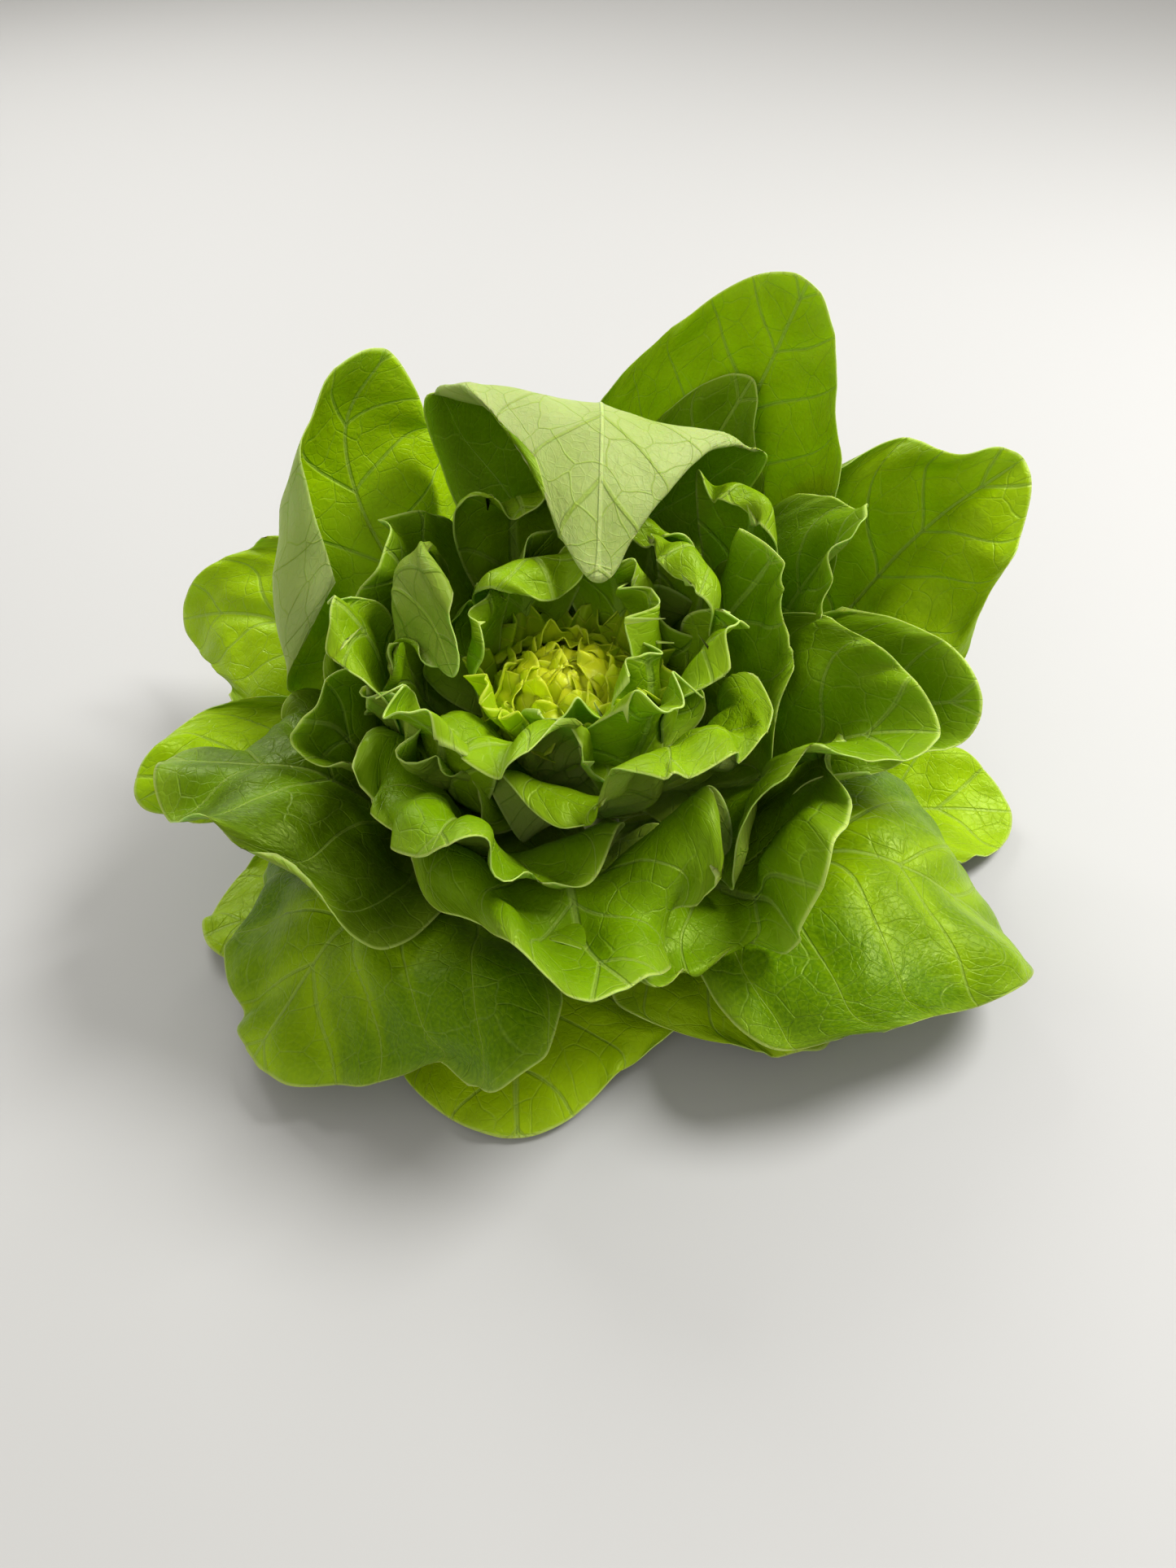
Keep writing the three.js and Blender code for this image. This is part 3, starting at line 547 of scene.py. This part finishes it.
def heart_finish(yellow, green):
    """Yellow in the middle of the heart, greener on its outer leaves, with shade painted olive at
    the feet of its leaves.
    """
    shader = Shader("heart leaf")
    across, along, rim, plane = leaf_places(shader)
    patch = shader.noise(plane, 160.0, 3.0).ramp(0.3, 0.75)
    base = shader.mix(shader.attribute("depth") * 0.85 + patch * 0.15, yellow, green)
    # painted shade: olive at the feet of the small leaves, deep in the heart
    base = shader.mix(along.fade(2, 22, 0.5), base, HEART_FOOT_SHADE)
    rank = (along - across * 1.2) / 5.5
    side = (rank.wave() / 0.08).fade(0.4, 1.0)
    base = shader.mix(side * 0.25, base, HEART_VEIN)
    base = shader.mix(rim.fade(0.2, 1.0, 0.35), base, HEART_MARGIN)
    height = side * -1.0 + shader.noise(plane, 500.0, 3.0) * 0.4
    return shader.finish(
        Base_Color=base,
        Roughness=0.36,
        Normal=shader.bump(0.5, 0.4 * MM, height),
        Subsurface_Weight=0.6,
        Subsurface_Radius=(0.8, 1.0, 0.08),
        Subsurface_Scale=2.5 * MM,
        Specular_IOR_Level=0.35,
        Specular_Tint=(0.9, 1.0, 0.35),
    )


def stem_finish():
    """Pale stem, a little browned and ringed on its cut face."""
    shader = Shader("cut stem")
    place = shader.places()
    away = shader.node("ShaderNodeVectorMath", {"operation": "LENGTH"}, (place,), output=1)
    cut = shader.coordinate(place, 2).fade(0.0, 0.8 * MM)
    ring = (away * 900 + shader.noise(place, 120.0) * 2.0).wave() * 2
    patch = shader.noise(place, 90.0, 4.0).ramp(0.4, 0.7)
    base = shader.mix(patch * 0.4, *STEM_GREENS)
    return shader.finish(
        Base_Color=shader.mix(cut * (0.35 + 0.3 * ring), base, STEM_BROWN),
        Roughness=0.5,
        Normal=shader.bump(0.5, 0.6 * MM, ring * cut + patch),
        Subsurface_Weight=0.2,
        Subsurface_Radius=(0.8, 1.0, 0.3),
        Subsurface_Scale=2.0 * MM,
    )


# ---------------------------------------------------------------- a leaf's net


def net_faces(rows, columns):
    """The faces of a frame leaf by point number: its upper side, its under side and its rim."""
    wide = columns + 1
    total = (rows + 1) * wide
    sheet = []
    for i in range(rows):
        for j in range(columns):
            a = i * wide + j
            sheet += [(a, a + 1, a + wide + 1), (a, a + wide + 1, a + wide)]
    loop = (
        [j for j in range(columns)]
        + [i * wide + columns for i in range(rows)]
        + [rows * wide + j for j in range(columns, 0, -1)]
        + [i * wide for i in range(rows, 0, -1)]
    )
    faces = sheet + [(total + a, total + c, total + b) for a, b, c in sheet]
    for a, b in zip(loop, loop[1:] + loop[:1]):
        faces += [(a, total + a, total + b), (a, total + b, b)]
    return faces


def corners_across(faces):
    """The third point of the face on each directed edge."""
    turned = [way for a, b, c in faces for way in ((a, b, c), (b, c, a), (c, a, b))]
    return {(a, b): c for a, b, c in turned}


def walk(pattern, found, start, seed):
    """The found point for each point of the pattern, walking over both from one face, or None."""
    match = dict(zip(start, seed))
    todo = [(start[0], start[1]), (start[1], start[2]), (start[2], start[0])]
    seen = set(todo)
    while todo:
        a, b = todo.pop()
        third = pattern[b, a]
        other = found.get((match[b], match[a]))
        if other is None or match.setdefault(third, other) != other:
            return None
        for edge in ((b, a), (a, third), (third, b)):
            if edge not in seen:
                seen.add(edge)
                todo.append(edge)
    return match if len(set(match.values())) == len(match) else None


def leaf_middle(name):
    """The middle of a frame leaf as rows of points, from the root to the tip."""
    net = bmesh.new()
    net.from_mesh(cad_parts[name].data)
    bmesh.ops.remove_doubles(net, verts=net.verts, dist=SAME_POINT)
    points = np.array([v.co for v in net.verts])
    faces = [tuple(v.index for v in f.verts) for f in net.faces]
    links = [len(v.link_edges) for v in net.verts]
    net.free()
    rows, columns = next(n for n in NETS if 2 * (n[0] + 1) * (n[1] + 1) == len(points))
    pattern = net_faces(rows, columns)
    found = corners_across(faces)
    template = corners_across(pattern)
    matches = []
    for a, b, c in faces:
        for seed in ((a, b, c), (b, c, a), (c, a, b)):
            if links[seed[0]] == CORNER_EDGES:
                match = walk(template, found, pattern[0], seed)
                if match:
                    matches.append([match[n] for n in range(len(points))])
    if not matches:
        raise RuntimeError(name + " isn't the net of a leaf")
    wide = columns + 1
    root = min(matches, key=lambda match: np.hypot(*points[match[:wide], :2].T).mean())
    upper, under = points[root].reshape(2, rows + 1, wide, 3)
    inward = under - upper
    inward /= np.linalg.norm(inward, axis=2, keepdims=True)
    return upper + inward * (BLADE / 2)


# ---------------------------------------------------------------- surfaces


def grid(rows, columns):
    """Shares of the length from 0 at the foot, and of the half width from -1 to 1."""
    return np.linspace(0, 1, rows + 1)[:, None], np.linspace(-1, 1, columns + 1)[None, :]


def spline(points, at):
    """Rows of points drawn out smoothly, taken at the places at.

    The curve lies between the one through the points and the softer one that only follows them.
    """
    padded = np.concatenate([2 * points[:1] - points[1:2], points, 2 * points[-1:] - points[-2:-1]])
    index = np.clip(np.floor(at).astype(int), 0, len(points) - 2)
    t = (at - index).reshape(-1, *([1] * (points.ndim - 1)))
    a, b, c, d = (padded[index + k] for k in range(4))
    through = 0.5 * (
        2 * b + (c - a) * t + (2 * a - 5 * b + 4 * c - d) * t**2 + (3 * b - a - 3 * c + d) * t**3
    )
    follows = (
        (1 - t) ** 3 * a
        + (3 * t**3 - 6 * t**2 + 4) * b
        + (1 + 3 * t + 3 * t**2 - 3 * t**3) * c
        + t**3 * d
    ) / 6
    return through + SOFTNESS * (follows - through)


def smooth(x, low, high):
    """0 below low and 1 above high, smoothly."""
    t = np.clip((x - low) / (high - low), 0, 1)
    return t * t * (3 - 2 * t)


def hills(x, y, size, seed):
    """Smooth random hills from -1 to 1, about size across, that repeat after many."""
    many = 64
    lattice = np.random.default_rng(seed).uniform(-1, 1, (many, many))
    x, y = x / size + many / 4, y / size + many / 4
    i, j = np.floor(x).astype(int), np.floor(y).astype(int)
    s, t = x - i, y - j
    s, t = s * s * (3 - 2 * s), t * t * (3 - 2 * t)

    def corner(right, up):
        return lattice[(i + right) % many, (j + up) % many]

    low = corner(0, 0) * (1 - s) + corner(1, 0) * s
    high = corner(0, 1) * (1 - s) + corner(1, 1) * s
    return low * (1 - t) + high * t


def normals_of(surface):
    normal = np.cross(np.gradient(surface, axis=1), np.gradient(surface, axis=0))
    return normal / np.maximum(np.linalg.norm(normal, axis=2, keepdims=True), 1e-12)


def steps_along(surface, axis):
    """Length along the rows or columns of a surface up to each point."""
    step = np.linalg.norm(np.diff(surface, axis=axis), axis=2)
    start = np.zeros_like(np.take(step, [0], axis=axis))
    return np.concatenate([start, np.cumsum(step, axis=axis)], axis=axis)


def round_tip(surface, u, v, roundness):
    """The same surface, on which the two corners of the tip are drawn in to one round end."""
    y = np.maximum((u - ROUND_FROM) / (1 - ROUND_FROM), 0)
    inwards = 1 - roundness + roundness * np.sqrt(1 - y**2 / 2)
    back = 1 - roundness + roundness * np.sqrt(1 - v**2 / 2)
    row = np.where(y > 0, ROUND_FROM + (1 - ROUND_FROM) * y * back, u) * (surface.shape[0] - 1)
    column = (v * inwards + 1) / 2 * (surface.shape[1] - 1)
    i = np.clip(row.astype(int), 0, surface.shape[0] - 2)
    j = np.clip(column.astype(int), 0, surface.shape[1] - 2)
    s, t = (row - i)[..., None], (column - j)[..., None]
    near = surface[i, j] * (1 - t) + surface[i, j + 1] * t
    far = surface[i + 1, j] * (1 - t) + surface[i + 1, j + 1] * t
    return near * (1 - s) + far * s


# ---------------------------------------------------------------- leaves


def blisters(settings, share, across, along, bent_x, bent_y, length, seed):
    """Height of the blisters between the side veins, less the soft valley along the midrib."""
    slant = VEIN_SLANT * np.maximum(np.abs(bent_x) / MM, 1e-6) ** VEIN_BEND
    rank = (bent_y / MM - slant) / (settings.vein_spacing / MM)
    between = np.abs(np.sin(np.pi * rank)) ** 0.7
    lumps = hills(bent_x, bent_y, 8 * MM, seed + 2) * 0.5
    lumps += hills(bent_x, bent_y, 15 * MM, seed + 3) * 0.8
    lumps += hills(across, along, 26 * MM, seed + 9) * 1.4
    height = share * settings.pucker * smooth(along, 18 * MM, 60 * MM) * (0.6 * between + lumps)
    height *= smooth(np.abs(across), 0, 6 * MM) * 0.8 + 0.2
    valley = np.exp(-((across / (9 * MM)) ** 2)) * smooth(along, 15 * MM, 45 * MM)
    height -= share * settings.valley * valley * (1 - smooth(along, 0.7 * length, length))
    return height


def small_waves(settings, share, bearing, along, rim, seed):
    """Height of the ruffles, which grow towards the margin."""
    waves = np.sin(bearing * 6 + 3 * hills(bearing, bearing * 0, 0.6, seed + 4) + seed)
    waves += 0.3 * np.sin(bearing * 13 + 3 * hills(bearing, bearing * 0, 0.4, seed + 5))
    margin = (1 - smooth(rim, 0, 24 * MM)) ** 1.5 * smooth(along, PLAIN_FOOT, 70 * MM)
    return share * settings.ruffle * margin * waves


def broad_folds(settings, share, bearing, along, rim, seed):
    """Height of the folds that run in from the margin of a leaf with many ruffles."""
    pleats = np.sin(bearing * 5 + 2 * hills(bearing, bearing * 0, 0.9, seed + 8) + 2 * seed)
    zone = (1 - smooth(rim, 10 * MM, 42 * MM)) * smooth(along, PLAIN_FOOT, 60 * MM)
    return max(0.0, share - PLEATS_FROM) * settings.pleat * zone * pleats


def uneven_margin(surface, v, bearing, along, rim, seed):
    """How far each point moves across its leaf, for a margin that isn't quite even."""
    ragged = hills(bearing, bearing * 0, 0.3, seed + 6)
    ragged += 0.3 * hills(bearing, bearing * 0, 0.12, seed + 7)
    outwards = np.gradient(surface, axis=1) * np.sign(v)[..., None]
    outwards /= np.maximum(np.linalg.norm(outwards, axis=2, keepdims=True), 1e-9)
    near = (1 - smooth(rim, 0, 8 * MM)) * smooth(along, PLAIN_FOOT, 60 * MM)
    return outwards * (0.7 * MM * near * ragged)[..., None]


def fine_leaf(name, settings, ruffle, pucker, seed):
    """A leaf's fine middle, plane places, distance to the margin, thickness and midrib."""
    coarse = leaf_middle(name)
    rows, columns = coarse.shape[0] - 1, coarse.shape[1] - 1
    length = steps_along(coarse, 0)[-1, columns // 2]
    width = steps_along(coarse, 1)[:, -1].max()
    middle = int(np.clip(width / settings.cell / 2, *FINE_COLUMNS))
    u, v = grid(int(np.clip(length / settings.cell, *FINE_ROWS)), 2 * middle)
    surface = spline(coarse, rows * u[:, 0] ** (1 / ROW_SPACING))
    surface = spline(surface.transpose(1, 0, 2), columns * (v[0] + 1) / 2).transpose(1, 0, 2)
    surface = round_tip(surface, u, v, SQUARER.get(name, ROUNDNESS))

    across = steps_along(surface, 1)
    across -= across[:, middle : middle + 1]
    along = np.repeat(steps_along(surface, 0)[:, middle : middle + 1], v.size, axis=1)
    to_side = (1 - np.abs(v)) * (across[:, -1:] - across[:, :1]) / 2
    to_end = (along[-1:] - along) * 0.8
    along = along * (1 - ROW_BOW * v**2 * u)
    rim = np.minimum(to_side, to_end)

    # plane places of the veins, bent a little so that no vein runs straight
    aside = 2.2 * MM * hills(across, along, 24 * MM, seed)
    bent_x = across + aside * smooth(np.abs(across), 0, 15 * MM)
    bent_y = along + 4.0 * MM * hills(across, along, 22 * MM, seed + 1)

    bearing = np.arctan2(across, along - 0.45 * length)
    relief = blisters(settings, pucker, across, along, bent_x, bent_y, length, seed)
    relief += small_waves(settings, ruffle, bearing, along, rim, seed)
    relief += broad_folds(settings, ruffle, bearing, along, rim, seed)
    surface = surface + normals_of(surface) * relief[..., None]
    surface += uneven_margin(surface, v, bearing, along, rim, seed)
    surface[..., 2] = np.maximum(surface[..., 2], LOWEST_MIDDLE)

    thickness = settings.thickness * (0.5 + 0.5 * smooth(rim, 0, 6 * MM))
    rib_width = (5.5 - 4.7 * smooth(along, 0, 120 * MM)) * MM
    rib = np.exp(-((across / (0.8 * rib_width)) ** 2)) * (1 - smooth(along, 0, 0.95 * length))
    return surface, bent_x, bent_y, rim, thickness, rib * settings.midrib


def sheet_mesh(name, surface, x, y, rim, thickness, rib, depth):
    """A closed leaf: upper side, under side with the midrib, and the rim between them.

    x and y are its plane places, rim is the distance to its margin, thickness and rib are what it
    measures through between the veins and more under its midrib, and depth is how far its green
    goes from the lighter to the deeper, which on the large leaves is partly painted light and
    shade.
    """
    rows, columns = surface.shape[0] - 1, surface.shape[1] - 1
    wide, total = columns + 1, (rows + 1) * (columns + 1)
    normal = normals_of(surface)
    thickness = np.broadcast_to(thickness, surface.shape[:2])
    upper = surface + normal * (thickness / 2)[..., None]
    under = surface - normal * (thickness / 2 + rib)[..., None]
    for side in (upper, under):
        side[..., 2] = np.maximum(side[..., 2], LOWEST_SIDE)
    points = np.concatenate([upper.reshape(-1, 3), under.reshape(-1, 3)])
    i, j = (g.ravel() for g in np.meshgrid(np.arange(rows), np.arange(columns), indexing="ij"))
    a = i * wide + j
    quads = np.stack([a, a + 1, a + wide + 1, a + wide], 1)
    loop = np.concatenate([
        np.arange(columns),
        np.arange(rows) * wide + columns,
        rows * wide + np.arange(columns, 0, -1),
        np.arange(rows, 0, -1) * wide,
    ])
    after = np.roll(loop, -1)
    edge = np.stack([loop, loop + total, after + total, after], 1)
    faces = np.concatenate([quads, quads[:, ::-1] + total, edge])
    mesh = bpy.data.meshes.new(name)
    mesh.from_pydata(points.tolist(), [], faces.tolist())
    part = np.repeat([0, 1, 2], [len(quads), len(quads), len(edge)])
    mesh.polygons.foreach_set("material_index", part)
    mesh.polygons.foreach_set("use_smooth", np.ones(len(faces), bool))
    corner = np.empty(len(mesh.loops), int)
    mesh.loops.foreach_get("vertex_index", corner)
    plane = np.tile(np.stack([x.ravel(), y.ravel()], 1), (2, 1))
    mesh.uv_layers.new(name="leaf").data.foreach_set("uv", plane[corner].ravel())
    held = {"rim": np.tile(rim.ravel(), 2), "depth": np.full(2 * total, depth)}
    for key, values in held.items():
        mesh.attributes.new(key, "FLOAT", "POINT").data.foreach_set("value", values)
    return mesh


def add_leaf(whole, surface, x, y, rim, depth):
    """Adds a small leaf to the heart."""
    mesh = sheet_mesh("heart", surface, x, y, rim, HEART_THICKNESS, 0, depth)
    whole.from_mesh(mesh)
    bpy.data.meshes.remove(mesh)


def add_heart_leaf(whole, index, share, middle, radius, top):
    """Adds one crumpled leaf that lies over the heart, from the innermost at share 0 outwards."""
    random = np.random.default_rng(HEART_DRAWS + index)
    u, v = grid(*HEART_CELLS)
    shell = radius * (0.60 + 0.37 * share)
    turn = GOLDEN_ANGLE * index
    foot_fall, tip_fall = 112, random.uniform(-6, 6) - 12 + 70 * share  # degrees from straight up
    fall = np.radians(foot_fall + (tip_fall - foot_fall) * (u * (1 - 0.16 * v**2)))
    half = (11 + 8 * share) * MM * (0.6 + 0.4 * np.sin(2.7 * u)) * (1 - 0.5 * u**4)
    slant = v * half / shell
    x, y = v * half, u * shell * HEART_LEAF_LENGTH + 0 * v
    rim = np.minimum((1 - np.abs(v)) * half, (1 - u) * shell * HEART_LEAF_LENGTH)
    crumple = hills(x, y, 3.6 * MM, HEART_CRUMPLES + index) * 1.3
    crumple += hills(x, y, 7 * MM, HEART_BULGES + index) * 2.6
    bearing = np.arctan2(v + 0 * u, u - 0.4 + 0 * v)
    frill = np.sin(3.6 * bearing + index) + 0.4 * np.sin(8 * bearing + 2 * index)
    height = (crumple * 0.9 + 1.3 * frill * (1 - smooth(rim, 0, 8 * MM)) + 1.2 * u**3) * MM
    ways = np.stack([
        np.sin(fall) * math.cos(turn) - slant * math.sin(turn),
        np.sin(fall) * math.sin(turn) + slant * math.cos(turn),
        np.cos(fall) + 0 * v,
    ], axis=2)
    ways /= np.linalg.norm(ways, axis=2, keepdims=True)
    centre = np.array([*middle[:2], top - radius * 1.02])
    add_leaf(whole, ways * (shell + height)[..., None] + centre, x, y, rim, 0.7 * share**1.3)


def add_collar_leaf(whole, index, count, middle, radius, top):
    """Adds one green, tightly waved leaf to the ring that stands round the heart."""
    random = np.random.default_rng(COLLAR_DRAWS + index)
    u, v = grid(*COLLAR_CELLS)
    half = 15 * MM * (0.6 + 0.4 * np.sin(2.6 * u)) * (1 - 0.35 * u**4)
    tip = top + random.uniform(-9, 1) * MM
    foot = top - COLLAR_HEIGHT
    x, y = v * half, u * (tip - foot) + 0 * v
    waves = np.sin(math.pi * (1.9 * v + random.uniform(0, 2))) * (0.35 + 0.65 * np.abs(v))
    waves = waves + 0.25 * np.sin(math.pi * (4 * v + 2 * u + random.uniform(0, 2)))
    bumps = 0.7 * hills(x, y, 7 * MM, COLLAR_HILLS + index)
    away = radius + (-3 + 5.5 * u**2 + 4.2 * waves * u**1.3 + bumps) * MM
    around = 2 * math.pi * (index + random.uniform(-0.3, 0.3)) / count + v * half / radius
    height = foot + (tip - foot) * u * (1 - 0.22 * v**2) + 0.5 * MM * np.sin(7 * v + index) * u**3
    surface = np.stack([away * np.cos(around), away * np.sin(around), height], axis=2)
    rim = np.minimum((1 - np.abs(v)) * half, (1 - u) * (tip - foot))
    add_leaf(whole, surface + np.array([*middle[:2], 0]), x, y, rim, 1.0)


def curl(name, bearing, half_width, waves, depth, path, seed):
    """One small curled leaf, on a path of distances from the heart's middle and heights in mm."""
    path = np.array(path) * MM
    u, v = grid(*CURL_CELLS)
    line = spline(path, (len(path) - 1) * u[:, 0])
    length = np.linalg.norm(np.diff(line, axis=0), axis=1).sum()
    half = half_width * MM * (0.55 + 0.45 * np.sin(2.5 * u)) * (1 - 0.35 * u**4)
    x, y = v * half, u * length + 0 * v
    rim = np.minimum((1 - np.abs(v)) * half, (1 - u) * length)
    angle = math.radians(bearing)
    out = np.array([math.cos(angle), math.sin(angle), 0])
    aside = np.array([-math.sin(angle), math.cos(angle), 0])
    back = u * (1 - 0.14 * v**2) * (len(path) - 1)
    surface = np.stack([spline(path, back[:, j]) for j in range(v.size)], axis=1)
    surface = surface[..., :1] * out + surface[..., 1:] * np.array([0, 0, 1]) - x[..., None] * aside
    surface -= out * (0.35 * x**2 / (half_width * MM))[..., None]
    ripple = np.sin(math.pi * (1.25 * v + 0.2 * u) + 1.7 * seed)
    ripple = ripple + 0.3 * np.sin(math.pi * (2.6 * v - 0.5 * u) + seed)
    relief = waves * MM * ripple * u**1.4 * (0.4 + 0.6 * np.abs(v))
    bumps = 1.2 * hills(x, y, 11 * MM, CURL_HILLS + seed)
    bumps += 0.3 * hills(x, y, 5 * MM, CURL_PUCKERS + seed)
    surface = surface + normals_of(surface) * (relief + bumps * MM)[..., None]
    return sheet_mesh(name, surface, x, y + CURL_FOOT, rim, CURL_THICKNESS, 0, depth)


def dress(mesh, name, finishes, slot, *nodes):
    """Puts a mesh in the scene as the piece that stands for nodes of the frame."""
    piece = bpy.data.objects.new(name, mesh)
    bpy.context.scene.collection.objects.link(piece)
    for finish in finishes:
        mesh.materials.append(finish)
    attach(piece, "root")
    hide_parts(*nodes)


# ---------------------------------------------------------------- operators


class LETTUCE_OT_leaves(bpy.types.Operator):
    """Ruffled, veined leaves in place of the frame's blades, and the small curled ones"""

    bl_idname = "lettuce.leaves"
    bl_label = "Leaves"

    def execute(self, context):
        settings = context.scene.lettuce_leaf
        spacing = settings.vein_spacing
        mid, outer = tuple(settings.mid_green), tuple(settings.outer_green)
        tender, vein = tuple(settings.tender_green), tuple(settings.vein_green)
        pale, dim = tuple(settings.under_green), tuple(settings.inner_under)
        margin = margin_finish()
        under = {
            "pale": under_finish("pale under side", pale, scaled(outer, 0.8), spacing),
            "dim": under_finish("under side", dim, scaled(mid, 0.7), spacing),
        }
        upper = {
            "mid": upper_finish("middle leaf", mid, scaled(mid, 0.4), vein, spacing),
            "outer": upper_finish("outer leaf", outer, OUTER_DEEP, vein, spacing),
            "tender": upper_finish("tender leaf", tender, scaled(tender, 0.5), vein, spacing),
        }
        curled = (upper["tender"], upper["tender"], margin)
        middle = np.mean(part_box("heart"), axis=0) * (1, 1, 0)
        for seed, (name, row) in enumerate(CURLS.items()):
            node, bearing, half_width, waves, depth, *path = row
            mesh = curl("fine_" + name, bearing, half_width, waves, depth, path, seed)
            mesh.transform(Matrix.Translation(middle))
            dress(mesh, "fine_" + name, curled, "leaf", node)
        for seed, (name, row) in enumerate(LEAVES.items()):
            above, below, ruffle, pucker, depth = row
            leaf = fine_leaf(name, settings, ruffle, pucker, SEEDS_PER_LEAF * seed)
            mesh = sheet_mesh("fine_" + name, *leaf, depth)
            dress(mesh, "fine_" + name, (upper[above], under[below], margin), "leaf", name)
        return {"FINISHED"}


class LETTUCE_OT_heart(bpy.types.Operator):
    """Crinkled yellow-green rosette in place of the frame's heart"""

    bl_idname = "lettuce.heart"
    bl_label = "Heart"

    def execute(self, context):
        settings = context.scene.lettuce_heart
        low, high = (np.array(c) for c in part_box("heart"))
        middle = Vector(((low[0] + high[0]) / 2, (low[1] + high[1]) / 2, 0))
        radius = (high - low)[:2].min() / 2
        whole = bmesh.new()
        for index in range(settings.leaves):
            share = index / (settings.leaves - 1)
            add_heart_leaf(whole, index, share, middle, radius, high[2])
        for index in range(settings.collar):
            add_collar_leaf(whole, index, settings.collar, middle, radius, high[2])
        mesh = bpy.data.meshes.new("fine_heart")
        whole.to_mesh(mesh)
        whole.free()
        mesh.polygons.foreach_set("material_index", np.zeros(len(mesh.polygons), int))
        finish = heart_finish(tuple(settings.yellow), tuple(settings.green))
        dress(mesh, "fine_heart", (finish,), "heart", "heart")
        return {"FINISHED"}


class LETTUCE_OT_stem(bpy.types.Operator):
    """Finish for the frame's cut stem"""

    bl_idname = "lettuce.stem"
    bl_label = "Stem"

    def execute(self, context):
        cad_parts["stem"].material_slots[0].material = stem_finish()
        return {"FINISHED"}


class LETTUCE_OT_stage(bpy.types.Operator):
    """Pale floor, soft studio light and the camera"""

    bl_idname = "lettuce.stage"
    bl_label = "Stage"

    def execute(self, context):
        settings = context.scene.lettuce_stage
        scene = context.scene
        world = bpy.data.worlds.new("studio")
        world.use_nodes = True
        background = world.node_tree.nodes["Background"]
        background.inputs["Color"].default_value = WORLD_COLOUR
        background.inputs["Strength"].default_value = WORLD_STRENGTH
        scene.world = world
        scene.view_settings.view_transform = "Standard"
        bpy.ops.mesh.primitive_plane_add(size=FLOOR_SIZE, location=(0, 0, 0))
        floor = context.object
        floor.name = "floor"
        shader = Shader("floor")
        tint = shader.noise(shader.places(), 3.0) * 0.15
        base = shader.mix(tint, tuple(settings.floor), FLOOR_SHADE)
        floor.data.materials.append(shader.finish(Base_Color=base, Roughness=0.6))
        for name, (place, size, share) in LIGHTS.items():
            light = bpy.data.lights.new(name, "AREA")
            light.shape = "DISK"
            light.size = size
            light.energy = settings.key * share
            lamp = bpy.data.objects.new(name, light)
            lamp.location = place
            aim = Vector(LIGHTS_AIM) - Vector(place)
            lamp.rotation_euler = aim.to_track_quat("-Z", "Y").to_euler()
            scene.collection.objects.link(lamp)
        camera = bpy.data.cameras.new("camera")
        camera.lens = LENS
        camera.sensor_width = SENSOR
        camera.clip_start = NEAREST
        viewer = bpy.data.objects.new("camera", camera)
        viewer.location = CAMERA_PLACE
        viewer.rotation_euler = (math.pi / 2 - settings.pitch, 0, 0)
        scene.collection.objects.link(viewer)
        scene.camera = viewer
        return {"FINISHED"}


class LETTUCE_PT_panel(bpy.types.Panel):
    """Buttons that build the lettuce, and its settings"""

    bl_idname = "LETTUCE_PT_panel"
    bl_label = "Lettuce"
    bl_space_type = "VIEW_3D"
    bl_region_type = "UI"
    bl_category = "Lettuce"

    def draw(self, context):
        for kind in PIECES:
            self.layout.operator(kind.bl_idname)
        for group in GROUPS:
            settings = getattr(context.scene, group)
            for key in settings.bl_rna.properties.keys():
                if key not in ("rna_type", "name"):
                    self.layout.prop(settings, key)


PIECES = (LETTUCE_OT_leaves, LETTUCE_OT_heart, LETTUCE_OT_stem, LETTUCE_OT_stage)
GROUPS = {
    "lettuce_leaf": LeafSettings,
    "lettuce_heart": HeartSettings,
    "lettuce_stage": StageSettings,
}


def register():
    for kind in (*GROUPS.values(), *PIECES, LETTUCE_PT_panel):
        bpy.utils.register_class(kind)
    for name, group in GROUPS.items():
        setattr(bpy.types.Scene, name, bpy.props.PointerProperty(type=group))


def unregister():
    for name in GROUPS:
        delattr(bpy.types.Scene, name)
    for kind in (LETTUCE_PT_panel, *reversed(PIECES), *GROUPS.values()):
        bpy.utils.unregister_class(kind)


def main():
    register()
    bpy.ops.lettuce.stage()
    bpy.ops.lettuce.stem()
    bpy.ops.lettuce.heart()
    bpy.ops.lettuce.leaves()


if __name__ == "__main__":
    main()
